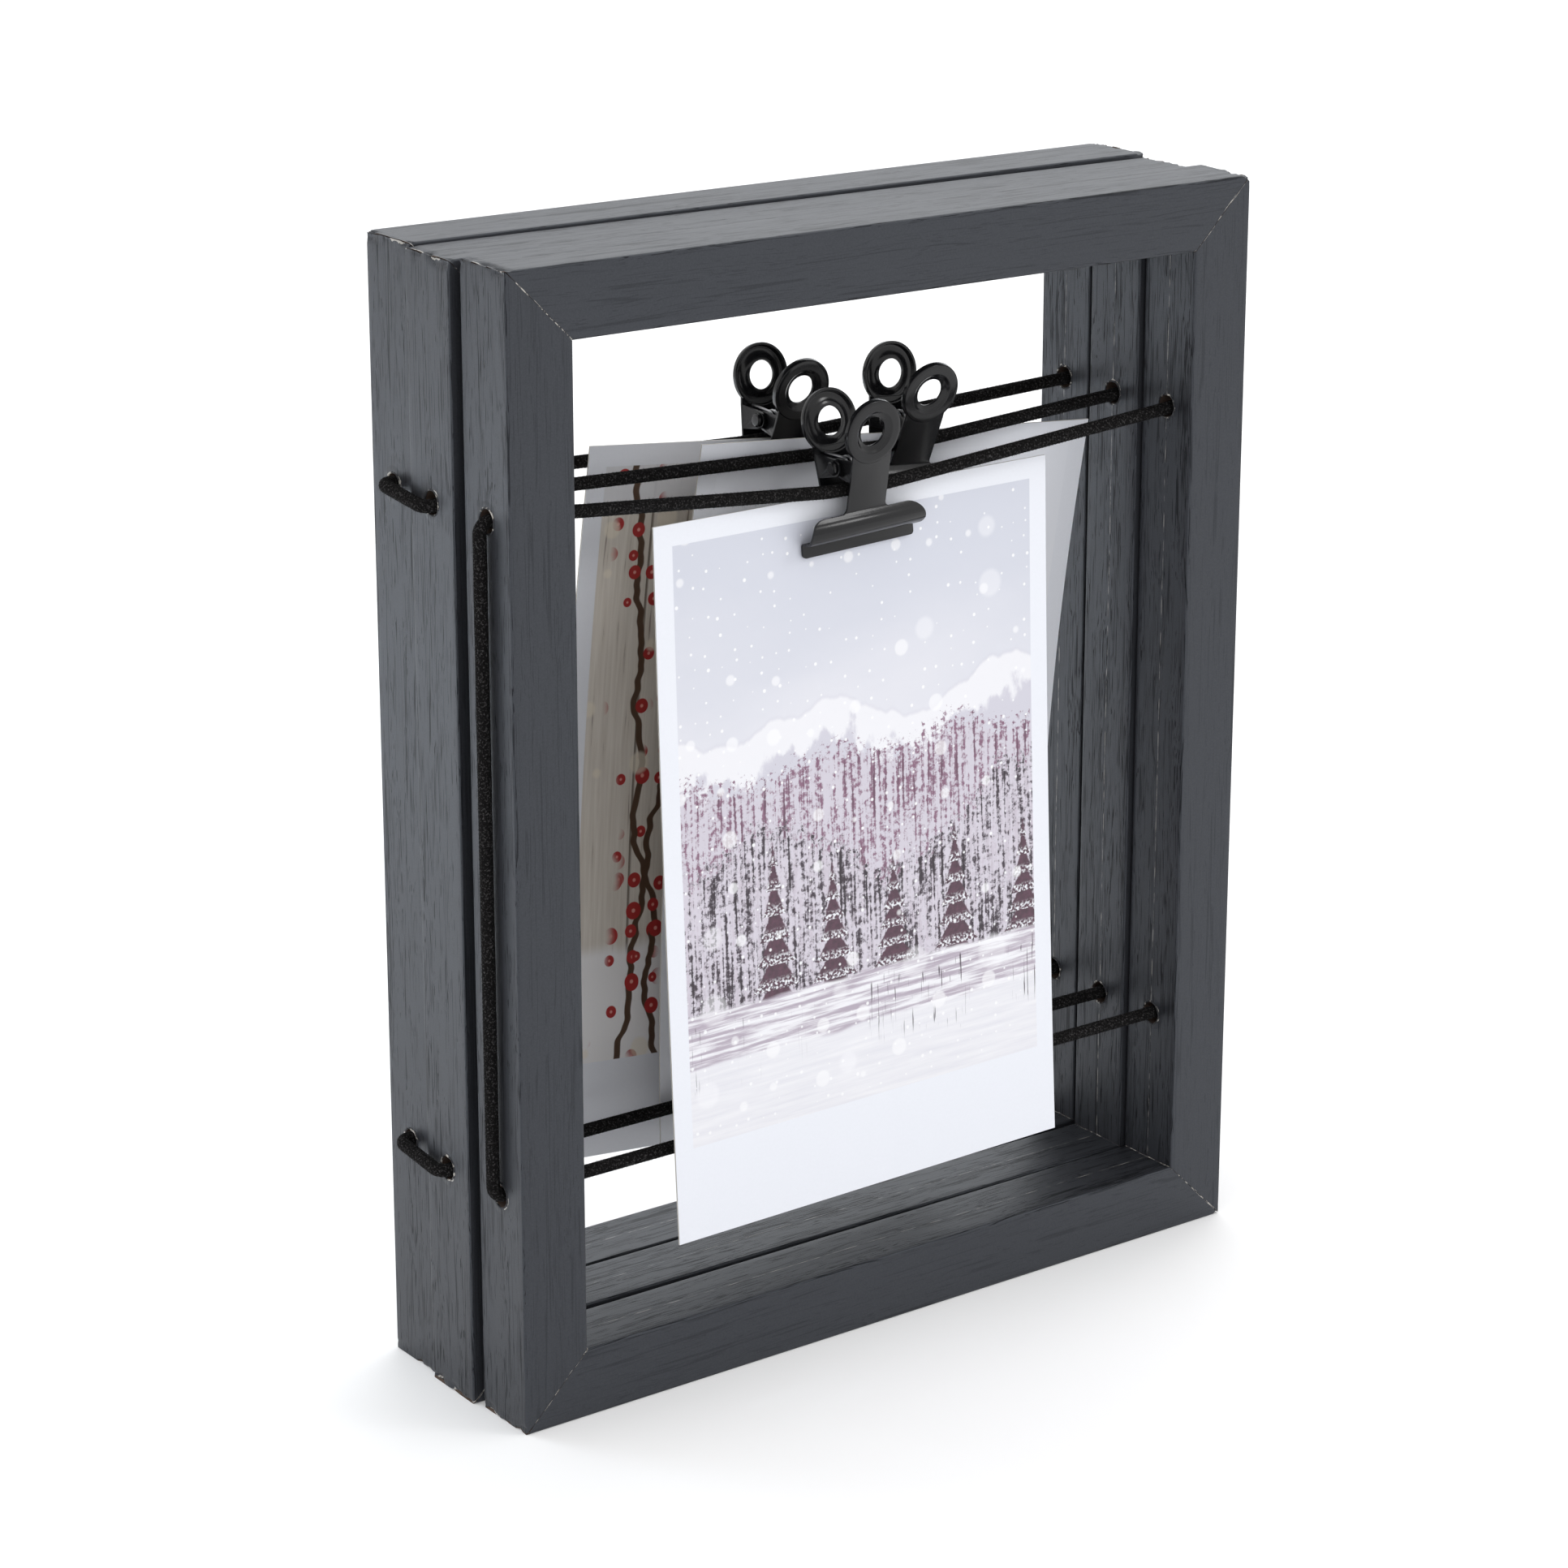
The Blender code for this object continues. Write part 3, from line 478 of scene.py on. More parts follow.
def paper_material(look):
    """The plain back and the cut edges of a card."""
    material, tree, shader = new_material("card_paper", roughness=0.6)
    fibre = tree.noise(object_place(tree), scale=1400.0, detail=4)
    tree.feed(shader.inputs["Base Color"], tree.mix(fibre, *shades(look.edge_colour, 0.92, 1.04)))
    bump(tree, shader, fibre, 0.03 * MM, 0.4)
    return material


class Print:
    """A picture on a card, painted in layers with nodes. Its lengths are in millimetres on the card."""

    def __init__(self, name, look):
        self.material, self.tree, self.shader = new_material(name, roughness=0.38)
        self.look = look
        u, v, _ = self.tree.parts(self.tree.out("ShaderNodeUVMap", uv_map="UVMap"))
        self.x, self.y = u * (CARD_WIDTH / MM), v * (CARD_HEIGHT / MM)
        self.colour = None

    def at(self, scale_x, scale_y, seed):
        """A place on the card for a texture, stretched and moved to another part of it."""
        return self.tree.combine(self.x * scale_x, self.y * scale_y, seed)

    def over(self, mask, colour):
        """Paints a colour where the mask is 1."""
        self.colour = self.tree.mix(mask, self.colour, colour)

    def below(self, line, soft=0.5):
        """A mask of what is under a line across the picture."""
        return self.tree.smooth(self.y - line, soft, -soft)

    def ridge(self, height, rise, reach, seed):
        """An uneven skyline: its height, how far it rises and falls, and about how wide a hill is."""
        wave = self.tree.noise_at(self.x / reach, seed, 0.0, detail=5, roughness=0.45)
        return (wave - 0.5) * (2 * rise) + height

    def dots(self, pitch, least, most, share, soft, seed):
        """Scattered round dots, one at most in each cell of the pitch. Share is how many cells have one."""
        column, row = self.tree.math("FLOOR", self.x / pitch), self.tree.math("FLOOR", self.y / pitch)
        size = self.tree.chance(column + seed, row)
        place_x = self.tree.spread(self.tree.chance(column, row + seed), 0.3, 0.7)
        place_y = self.tree.spread(self.tree.chance(column + seed, row + seed), 0.3, 0.7)
        off_x, off_y = self.x / pitch - column - place_x, self.y / pitch - row - place_y
        away = self.tree.math("SQRT", off_x * off_x + off_y * off_y) * pitch
        radius = self.tree.spread(size / share, least, most)
        shown = self.tree.math("LESS_THAN", size, share)
        return self.tree.smooth(away - radius, soft, -soft) * shown

    def pines(self, foot, pitch, tall, tiers, share, seed):
        """A row of stepped fir trees. Returns the mask of the trees and of the snow on their boughs."""
        tree = self.tree
        cell = tree.math("FLOOR", self.x / pitch + seed)
        size = tree.chance(cell, seed)
        nudge = tree.spread(tree.chance(cell, seed + 7), -0.15, 0.15)
        off = tree.math("ABSOLUTE", self.x / pitch + seed - cell - 0.5 - nudge) * pitch
        height = tree.spread(size, 0.6, 1.0) * tall
        up = (self.y - foot) / height
        tier = tree.math("FRACT", up * tiers)
        ragged = tree.noise(self.at(1.6, 1.6, seed), detail=2) * 0.9
        reach = (1.0 - up) * (1.0 - tier * 0.55) * (0.42 * pitch) + ragged - 0.45
        shown = tree.math("GREATER_THAN", tree.chance(cell, seed + 3), 1 - share)
        mask = tree.smooth(off - reach, 0.2, -0.2) * shown
        mask = mask * tree.smooth(up, -0.02, 0.02) * tree.smooth(up, 1.02, 0.98)
        snow = mask * tree.smooth(tier + ragged * 0.4, 0.75, 0.45) * tree.smooth(ragged, 0.40, 0.55)
        return mask, snow

    def wood(self, skyline, dark, pale, seed):
        """A bare winter wood under a skyline: upright strokes for the trunks, and tangled twigs."""
        tree = self.tree
        twigs = tree.noise(self.at(0.7, 0.7, seed), detail=7, roughness=0.72)
        trunks = tree.noise(self.at(1.1, 0.05, seed + 1), detail=4)
        mask = self.below(skyline + (twigs - 0.5) * 26, 1.0)
        self.over(mask * 0.85, pale)
        self.over(mask * tree.smooth(twigs * 0.6 + trunks * 0.5, 0.53, 0.62), dark)
        self.over(mask * tree.smooth(trunks, 0.60, 0.66) * 0.7, shades(dark, 0.4)[0])

    def finish(self):
        """Leaves the plain margins of the card round the picture, and hands over the material."""
        tree, look = self.tree, self.look
        margin, foot = look.margin / MM, look.foot_margin / MM
        wide, tall = CARD_WIDTH / MM, CARD_HEIGHT / MM
        blur = 0.1
        inside = tree.smooth(self.x, margin - blur, margin + blur)
        inside = inside * tree.smooth(self.x, wide - margin + blur, wide - margin - blur)
        inside = inside * tree.smooth(self.y, foot - blur, foot + blur)
        inside = inside * tree.smooth(self.y, tall - margin + blur, tall - margin - blur)
        fibre = tree.noise(self.at(1.5, 1.5, 40.0), detail=4)
        blank = tree.mix(fibre, *shades(look.paper_colour, 0.97, 1.01))
        colour = tree.mix(inside, blank, self.colour)
        tree.feed(self.shader.inputs["Base Color"], colour)
        bump(tree, self.shader, fibre, 0.02 * MM, 0.3)
        return self.material


def winter_lake(look):
    """A wood by a frozen lake, with far hills, firs, reeds and falling snow, in lavender greys and plum."""
    art = Print("print_winter_lake", look)
    tree = art.tree
    clouds = tree.noise(art.at(0.02, 0.05, 2.0), detail=4)
    height = tree.smooth(art.y + clouds * 40, 80.0, 165.0)
    art.colour = tree.mix(height, (0.88, 0.87, 0.91), (0.64, 0.66, 0.74))
    far = art.ridge(106.0, 16.0, 26.0, 4.0)
    art.over(art.below(far, 1.2), (0.64, 0.63, 0.71))
    caps = tree.noise(art.at(0.16, 0.08, 9.0), detail=5) * 34 - 9
    art.over(art.below(far) * tree.smooth(far - art.y - caps, 1.5, -1.5), (0.86, 0.86, 0.90))
    art.wood(art.ridge(96.0, 16.0, 34.0, 11.0), (0.24, 0.12, 0.19), (0.64, 0.60, 0.68), 3.0)
    art.wood(art.ridge(78.0, 34.0, 40.0, 15.0), (0.05, 0.035, 0.05), (0.66, 0.62, 0.70), 8.0)
    mask, snow = art.pines(44.0, 17.0, 38.0, 7.0, 0.6, 8)
    art.over(mask, tree.mix(tree.noise(art.at(0.9, 0.9, 2.0)), (0.03, 0.022, 0.03), (0.15, 0.06, 0.10)))
    art.over(snow, (0.84, 0.85, 0.90))
    ripple = tree.noise(art.at(0.05, 0.9, 6.0), detail=5, roughness=0.6)
    ice = tree.mix(tree.smooth(ripple, 0.40, 0.60), (0.46, 0.40, 0.48), (0.88, 0.88, 0.92))
    art.over(art.below(art.ridge(48.0, 2.0, 16.0, 18.0)), ice)
    snow = tree.mix(ripple, (0.70, 0.70, 0.77), (0.94, 0.94, 0.96))
    art.over(art.below(art.ridge(37.0, 4.0, 30.0, 21.0)), snow)
    reeds = tree.smooth(tree.noise(art.at(2.2, 0.10, 5.0), detail=3), 0.60, 0.66)
    reeds = reeds * art.below(art.ridge(45.0, 9.0, 5.0, 24.0))
    reeds = reeds * tree.smooth(art.y - art.ridge(31.0, 4.0, 14.0, 26.0), -1.0, 2.0)
    art.over(reeds * tree.smooth(tree.noise(art.at(0.05, 0.01, 7.0)), 0.46, 0.54), (0.05, 0.035, 0.05))
    art.over(art.dots(3.5, 0.12, 0.4, 0.5, 0.12, 13) * 0.9, (0.95, 0.95, 0.97))
    art.over(art.dots(11.0, 0.5, 1.9, 0.45, 0.3, 31) * 0.6, (0.95, 0.95, 0.97))
    art.over(art.dots(19.0, 1.6, 4.0, 0.4, 0.6, 47) * 0.35, (0.95, 0.95, 0.98))
    return art.finish()


def misty_hills(look):
    """Pale hills one behind the other, fading into mist."""
    art = Print("print_misty_hills", look)
    tree = art.tree
    art.colour = tree.mix(tree.smooth(art.y, 60.0, 150.0), (0.90, 0.90, 0.93), (0.86, 0.88, 0.94))
    far, near, nearest = (0.82, 0.83, 0.88), (0.70, 0.70, 0.77), (0.54, 0.53, 0.60)
    for height, seed, colour in ((76.0, 2.0, far), (60.0, 7.0, near), (46.0, 12.0, nearest)):
        art.over(art.below(art.ridge(height, 14.0, 40.0, seed), 1.0), colour)
    mask, snow = art.pines(34.0, 12.0, 26.0, 5.0, 0.7, 4)
    art.over(mask, (0.24, 0.20, 0.27))
    art.over(snow, (0.80, 0.81, 0.87))
    art.over(art.below(art.ridge(38.0, 3.0, 30.0, 9.0)), (0.88, 0.88, 0.92))
    return art.finish()


def berry_twigs(look):
    """Brown twigs with red berries before pale boards."""
    art = Print("print_berry_twigs", look)
    tree = art.tree
    board = tree.math("FRACT", art.x / 17.0)
    grain = tree.noise(art.at(1.2, 0.05, 3.0), detail=4)
    art.colour = tree.mix(grain, (0.52, 0.46, 0.39), (0.90, 0.86, 0.80))
    art.over(tree.smooth(board, 0.05, 0.02) * 0.8, (0.10, 0.07, 0.05))
    art.over(tree.smooth(grain, 0.36, 0.28) * 0.7, (0.20, 0.15, 0.12))
    art.over(art.below(art.ridge(44.0, 8.0, 20.0, 5.0), 2.0), (0.90, 0.89, 0.90))
    art.over(tree.smooth(art.y, 137.0, 140.0) * 0.9, (0.74, 0.75, 0.79))
    for lean, start, seed in ((0.16, 12.0, 1.0), (-0.10, 27.0, 4.0), (0.22, 52.0, 7.0), (-0.14, 84.0, 9.0)):
        bend = tree.noise_at(art.y * 0.05, seed, 0.0, detail=3) * 16 - 8
        off = tree.math("ABSOLUTE", art.x - start - art.y * lean + bend)
        art.over(tree.smooth(off, 0.95, 0.65), (0.09, 0.05, 0.03))
        near = tree.smooth(off, 8.0, 5.0)
        art.over(art.dots(5.5, 1.0, 1.9, 0.55, 0.1, int(seed) + 2) * near, (0.42, 0.03, 0.03))
        art.over(art.dots(5.5, 0.25, 0.45, 0.55, 0.15, int(seed) + 2) * near * 0.8, (0.85, 0.42, 0.36))
    art.over(art.dots(13.0, 0.8, 2.6, 0.4, 0.5, 23) * 0.55, (0.90, 0.82, 0.68))
    return art.finish()


def seen_rays(tree):
    """1 for rays that show the surroundings, straight or in a gloss, and 0 for those that only light."""
    path = tree.add("ShaderNodeLightPath")
    seen = Num(tree, path.outputs["Is Camera Ray"])
    for output in ("Is Glossy Ray", "Is Transmission Ray"):
        seen = tree.math("MAXIMUM", seen, Num(tree, path.outputs[output]))
    return seen


def floor_material(look):
    """A pale floor that reads as white in view, and still takes the object's shadow."""
    material, tree, shader = new_material("pale_floor", roughness=0.9)
    speck = tree.noise(object_place(tree), scale=40.0, detail=3)
    tree.feed(shader.inputs["Base Color"], tree.mix(speck, *shades(look.floor_colour, 0.995, 1.0)))
    shader.inputs["Emission Color"].default_value = (1, 1, 1, 1)
    tree.feed(shader.inputs["Emission Strength"], seen_rays(tree) * look.floor_lift)
    return material


def plain_mesh(obj):
    """The mesh that an object evaluates to, as one body. The object itself is removed."""
    bpy.context.view_layer.update()
    depsgraph = bpy.context.evaluated_depsgraph_get()
    mesh = bpy.data.meshes.new_from_object(obj.evaluated_get(depsgraph))
    mesh.name = obj.name
    bpy.data.objects.remove(obj)
    return mesh


def add_object(name, data):
    obj = bpy.data.objects.new(name, data)
    bpy.context.scene.collection.objects.link(obj)
    return obj


def add_piece(name, mesh, nodes=()):
    """A finished piece, standing for CAD nodes, shaded smooth with its sharp edges kept."""
    mesh.shade_smooth()
    mesh.set_sharp_from_angle(angle=SHARP_ANGLE)
    obj = add_object(name, mesh)
    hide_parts(*nodes)
    return obj


def mesh_from(name, build):
    """A mesh filled by a function that works on a BMesh."""
    mesh = bpy.data.meshes.new(name)
    bm = bmesh.new()
    build(bm)
    bm.to_mesh(mesh)
    bm.free()
    return mesh


def poly_curve(name, points, cyclic=False):
    curve = bpy.data.curves.new(name, "CURVE")
    curve.dimensions = "3D"
    spline = curve.splines.new("POLY")
    spline.points.add(len(points) - 1)
    for point, place in zip(spline.points, points):
        point.co = (*place, 1)
    spline.use_cyclic_u = cyclic
    return curve


def arc(centre, radius, start, end, steps):
    """Points on a circle in a plane, angles in degrees."""
    angles = np.radians(np.linspace(start, end, steps + 1))
    return [(centre[0] + radius * math.cos(a), centre[1] + radius * math.sin(a)) for a in angles]


def rounded_path(corners, radii, steps=10):
    """A path through corners, with each inner corner an arc. One radius serves all, or each has its own."""
    corners = [Vector(c) for c in corners]
    inner = len(corners) - 2
    radii = radii if isinstance(radii, (list, tuple)) else [radii] * inner
    path = [corners[0]]
    for before, corner, after, radius in zip(corners, corners[1:], corners[2:], radii):
        back, ahead = (before - corner).normalized(), (after - corner).normalized()
        half = back.angle(ahead) / 2
        centre = corner + (back + ahead).normalized() * (radius / math.sin(half))
        start = corner + back * (radius / math.tan(half))
        end = corner + ahead * (radius / math.tan(half))
        first, last = (start - centre).normalized(), (end - centre).normalized()
        path += [centre + first.slerp(last, step / steps) * radius for step in range(steps + 1)]
    return path + [corners[-1]]


def panel_matrix(name):
    """Where a panel stands: laid on its neighbour, a step to the side, then opened about its fold joint."""
    for joint in frame["joints"]:
        if joint["child"] == f"{name}_panel":
            axis = Vector(joint["pos_m"])
            opened = Matrix.Rotation(-math.radians(joint["range_deg"][0]), 4, "Z")
            foot = Vector((SIDE_STEP / 2, 2 * axis.y, 0))
            return Matrix.Translation(axis) @ opened @ Matrix.Translation(foot - axis)
    return Matrix.Translation((-SIDE_STEP / 2, 0, 0))


def clip_matrix(name):
    """Where a clip's pin is: the clip hangs over the cord, on the card's side of it."""
    hanging = HANGING[name]
    turn = Matrix.Rotation(hanging.yaw, 4, "Z") @ Matrix.Rotation(hanging.lean, 4, "X")
    turn = turn @ Matrix.Rotation(hanging.roll, 4, "Y")
    cord = Matrix.Translation((hanging.along, 0, UPPER_HOLE - hanging.sag))
    pin = Matrix.Translation((0, hanging.side * CARD_TO_CORD, PIN_ABOVE_CORD))
    return panel_matrix(name) @ cord @ turn @ pin


class GeometryTree(Tree):
    """A geometry node group for a modifier, with named inputs."""

    def __init__(self, name, inputs):
        self.group = bpy.data.node_groups.new(name, "GeometryNodeTree")
        self.group.is_modifier = True
        super().__init__(self.group.nodes, self.group.links)
        self.group.interface.new_socket("Geometry", in_out="INPUT", socket_type="NodeSocketGeometry")
        self.group.interface.new_socket("Geometry", in_out="OUTPUT", socket_type="NodeSocketGeometry")
        self.identifiers = {}
        for label, kind in inputs.items():
            socket = self.group.interface.new_socket(label, in_out="INPUT", socket_type=f"NodeSocket{kind}")
            self.identifiers[label] = socket.identifier
        self.start = self.add("NodeGroupInput")
        self.end = self.add("NodeGroupOutput")

    def input(self, label):
        return self.start.outputs[label]

    def number(self, label):
        return Num(self, self.start.outputs[label])

    def store(self, geometry, name, kind, value):
        """Writes a value on the geometry's points, for the material to read."""
        inputs = {"Geometry": geometry, "Name": name, "Value": value}
        return self.out("GeometryNodeStoreNamedAttribute", inputs, data_type=kind, domain="POINT")

    def capture(self, geometry, value):
        """Keeps a number on a curve's points, so that the mesh made from it can use the number."""
        node = self.add("GeometryNodeCaptureAttribute", {"Geometry": geometry}, domain="POINT")
        node.capture_items.new("FLOAT", "Kept")
        self.links.new(value, node.inputs["Kept"])
        return node.outputs["Geometry"], Num(self, node.outputs["Kept"])

    def close(self, geometry):
        """Ends the tree: instances become real, and everything takes the tree's material."""
        real = self.out("GeometryNodeRealizeInstances", {"Geometry": geometry})
        done = self.out("GeometryNodeSetMaterial", {"Geometry": real, "Material": self.input("Material")})
        self.links.new(done, self.end.inputs[0])

    def mesh(self, name, data, values):
        """The plain mesh that the tree makes of some data with these input values."""
        obj = add_object(name, data)
        modifier = obj.modifiers.new(self.group.name, "NODES")
        modifier.node_group = self.group
        for label, value in values.items():
            modifier[self.identifiers[label]] = value
        return plain_mesh(obj)


def moulding_tree():
    """Sweeps a profile along X: mitred ends, an unevenly worn outer corner, and two bores if wanted."""
    tree = GeometryTree("mitred_moulding", {
        "Length": "Float", "Face": "Float", "Mitre Gap": "Float", "Wear": "Float", "Seed": "Float",
        "Bored": "Bool", "Bore Offset": "Float", "Bore Shift": "Float", "Bore Radius": "Float",
        "Material": "Material", "Wood": "Material"})
    line = tree.out("GeometryNodeCurvePrimitiveLine", {"Start": (-0.5, 0, 0), "End": (0.5, 0, 0)})
    stations = tree.out("GeometryNodeResampleCurve", {"Curve": line, "Count": MOULDING_STATIONS})
    swept = tree.out("GeometryNodeCurveToMesh", {
        "Curve": stations, "Profile Curve": tree.input("Geometry"), "Fill Caps": True})
    unit, depth, height = tree.parts(tree.out("GeometryNodeInputPosition"))
    # The stations crowd together towards the ends, where the wear is
    share = tree.math("SINE", unit * math.pi)
    half, gap = tree.number("Length") / 2, tree.number("Mitre Gap") / math.sqrt(2)
    to_end = (1.0 - tree.math("ABSOLUTE", share)) * half
    end = tree.number("Seed") + tree.math("SIGN", unit) * 3
    ragged = tree.noise_at(end, depth * 260, to_end * 300, detail=3)
    worn = tree.smooth(ragged, 0.42, 0.75) * tree.number("Wear")
    worn = worn * tree.smooth(to_end, 2.6 * MM, 0.0) * tree.smooth(height, 4 * MM, 0.5 * MM)
    height = height + worn
    placed = tree.combine(share * (half - gap - height), depth, height)
    bar = tree.out("GeometryNodeSetPosition", {"Geometry": swept, "Position": placed})
    # Two cord holes, either side of the middle
    offset, shift = tree.number("Bore Offset"), tree.number("Bore Shift")
    radius, face = tree.number("Bore Radius"), tree.number("Face")
    drill = tree.out("GeometryNodeMeshCylinder", {"Vertices": 48, "Radius": radius, "Depth": face * 3})
    cut = tree.add("GeometryNodeMeshBoolean", {"Mesh 1": bar}, operation="DIFFERENCE", solver="EXACT")
    for side in (-1, 1):
        moved = tree.out("GeometryNodeTransform", {
            "Geometry": drill, "Translation": tree.combine(offset * side + shift, 0.0, face / 2)})
        tree.links.new(moved, cut.inputs["Mesh 2"])
    bored = tree.out("GeometryNodeSwitch", {
        "Switch": tree.input("Bored"), "False": bar, "True": cut.outputs[0]})
    # What the foil reads: its grain, and how far it is from the mitre and from a hole
    x, y, z = tree.parts(tree.out("GeometryNodeInputPosition"))
    to_mitre = half - gap - z - tree.math("ABSOLUTE", x)
    from_bore = tree.math("ABSOLUTE", x - shift) - offset
    from_axis = tree.math("SQRT", from_bore * from_bore + y * y)
    to_hole = from_axis - radius + (1.0 - tree.number("Bored"))
    marked = tree.store(bored, GRAIN, "FLOAT_VECTOR", tree.combine(x + tree.number("Seed"), y, z))
    marked = tree.store(tree.store(marked, TO_MITRE, "FLOAT", to_mitre), TO_HOLE, "FLOAT", to_hole)
    real = tree.out("GeometryNodeRealizeInstances", {"Geometry": marked})
    foil = tree.out("GeometryNodeSetMaterial", {"Geometry": real, "Material": tree.input("Material")})
    in_bore = tree.math("LESS_THAN", from_axis, radius * 1.001)
    _, _, up = tree.parts(tree.out("GeometryNodeInputNormal"))
    in_bore = in_bore * tree.math("LESS_THAN", tree.math("ABSOLUTE", up), 0.5) * tree.number("Bored")
    cut_face = tree.math("LESS_THAN", to_mitre, 0.005 * MM)
    bare = tree.math("MAXIMUM", in_bore, cut_face)
    wood = tree.out("GeometryNodeSetMaterial", {
        "Geometry": foil, "Selection": bare, "Material": tree.input("Wood")})
    tree.links.new(wood, tree.end.inputs[0])
    return tree


def sleeve_tree():
    """A round sleeve along a path, braided from strands that cross over and under, with loose fibres."""
    tree = GeometryTree("braided_sleeve", {
        "Diameter": "Float", "Facets": "Int", "Step": "Float", "Strands": "Int", "Lay": "Float",
        "Weave Depth": "Float", "Fibres": "Float", "Fibre Length": "Float", "Seed": "Int",
        "Material": "Material"})
    path = tree.out("GeometryNodeResampleCurve", {
        "Curve": tree.input("Geometry"), "Length": tree.input("Step")}, mode="LENGTH")
    spline = tree.add("GeometryNodeSplineParameter")
    path, along = tree.capture(path, spline.outputs["Length"])
    ring = tree.out("GeometryNodeCurvePrimitiveCircle", {
        "Resolution": tree.input("Facets"), "Radius": tree.number("Diameter") / 2})
    ring, around = tree.capture(ring, spline.outputs["Factor"])
    sleeve = tree.out("GeometryNodeCurveToMesh", {"Curve": path, "Profile Curve": ring, "Fill Caps": True})
    # Strands wind both ways, and at each crossing one of the two is over the other
    strands = tree.number("Strands")
    turns = along / tree.number("Lay")
    right, left = (around + turns) * strands, (around - turns) * strands
    crossing = tree.math("FLOOR", right) + tree.math("FLOOR", left)
    over = tree.math("FLOORED_MODULO", crossing, 2.0)
    right_crown = tree.math("SINE", tree.math("FRACT", right) * math.pi)
    left_crown = tree.math("SINE", tree.math("FRACT", left) * math.pi)
    crown = tree.math("POWER", right_crown * over + left_crown * (1.0 - over), 0.6)
    place = tree.out("GeometryNodeInputPosition")
    fuzz = tree.noise(place, scale=2600.0, detail=2) - 0.5
    lift = (crown - 1.0 + fuzz * 0.8) * tree.number("Weave Depth")
    normal = tree.out("GeometryNodeInputNormal")
    offset = tree.out("ShaderNodeVectorMath", {0: normal, "Scale": lift}, operation="SCALE")
    woven = tree.out("GeometryNodeSetPosition", {"Geometry": sleeve, "Offset": offset})
    # The crown is kept for the cord's material, which paints highlights on it
    woven = tree.store(woven, WEAVE, "FLOAT", crown)
    # Loose fibres lean out of the braid
    roots = tree.add("GeometryNodeDistributePointsOnFaces", {
        "Mesh": woven, "Density": tree.input("Fibres"), "Seed": tree.input("Seed")})
    lean = tree.out("FunctionNodeRandomValue", {
        0: (-1.3, -1.3, -3.1), 1: (1.3, 1.3, 3.1), "Seed": tree.input("Seed")}, data_type="FLOAT_VECTOR")
    lean = tree.out("FunctionNodeEulerToRotation", {0: lean})
    turned = tree.out("FunctionNodeRotateRotation", {
        0: roots.outputs["Rotation"], 1: lean}, rotation_space="LOCAL")
    fibre = tree.out("GeometryNodeMeshCone", {
        "Vertices": 3, "Radius Bottom": FIBRE_RADIUS, "Depth": tree.input("Fibre Length")})
    fibres = tree.out("GeometryNodeInstanceOnPoints", {
        "Points": roots.outputs["Points"], "Instance": fibre, "Rotation": turned})
    joined = tree.add("GeometryNodeJoinGeometry")
    tree.links.new(fibres, joined.inputs[0])
    tree.links.new(woven, joined.inputs[0])
    tree.close(joined.outputs[0])
    return tree


def rim_tree():
    """A ragged bead of torn foil round each of some points, about the X axis."""
    tree = GeometryTree("torn_rim", {
        "Radius": "Float", "Bead": "Float", "Ragged": "Float", "Material": "Material"})
    ring = tree.out("GeometryNodeCurvePrimitiveCircle", {"Resolution": 56, "Radius": tree.input("Radius")})
    bead = tree.out("GeometryNodeCurvePrimitiveCircle", {"Resolution": 8, "Radius": tree.input("Bead")})
    rim = tree.out("GeometryNodeCurveToMesh", {"Curve": ring, "Profile Curve": bead})
    rim = tree.out("GeometryNodeTransform", {"Geometry": rim, "Rotation": (0, math.pi / 2, 0)})
    points = tree.out("GeometryNodeMeshToPoints", {"Mesh": tree.input("Geometry")})
    rims = tree.out("GeometryNodeInstanceOnPoints", {"Points": points, "Instance": rim})
    rims = tree.out("GeometryNodeRealizeInstances", {"Geometry": rims})
    place = tree.out("GeometryNodeInputPosition")
    torn = tree.add("ShaderNodeTexNoise", {"Vector": place, "Scale": 900.0, "Detail": 3.0}).outputs["Color"]
    torn = tree.out("ShaderNodeVectorMath", {0: torn, 1: (0.5, 0.5, 0.5)}, operation="SUBTRACT")
    torn = tree.out("ShaderNodeVectorMath", {0: torn, "Scale": tree.input("Ragged")}, operation="SCALE")
    tree.close(tree.out("GeometryNodeSetPosition", {"Geometry": rims, "Offset": torn}))
    return tree


def moulding_profile(radius, steps=6, cuts=12):
    """The moulding's section as (height above the outer face, depth), with its flats cut up evenly."""
    face, half = MOULDING_FACE, MOULDING_DEPTH / 2
    low, high, side = radius, face - radius, half - radius
    centres = ((high, side), (low, side), (low, -side), (high, -side))
    corners = [arc(centre, radius, 90 * turn, 90 * turn + 90, steps) for turn, centre in enumerate(centres)]
    outline = []
    for corner, following in zip(corners, corners[1:] + corners[:1]):
        outline += corner
        start, end = np.array(corner[-1]), np.array(following[0])
        outline += [tuple(start + (end - start) * cut / cuts) for cut in range(1, cuts)]
    return outline


def panel_members(tall):
    """Each member of a panel: its length, its outer edge's middle, its turn about Y and its bores' shift."""
    side, off = PANEL_WIDTH / 2, (PANEL_HEIGHT - tall) / 2
    return {
        "bottom_rail": (PANEL_WIDTH, (0, 0, 0), 0, 0),
        "left_stile": (tall, (-side, 0, tall / 2), 90, -off),
        "top_rail": (PANEL_WIDTH, (0, 0, tall), 180, 0),
        "right_stile": (tall, (side, 0, tall / 2), -90, off),
    }


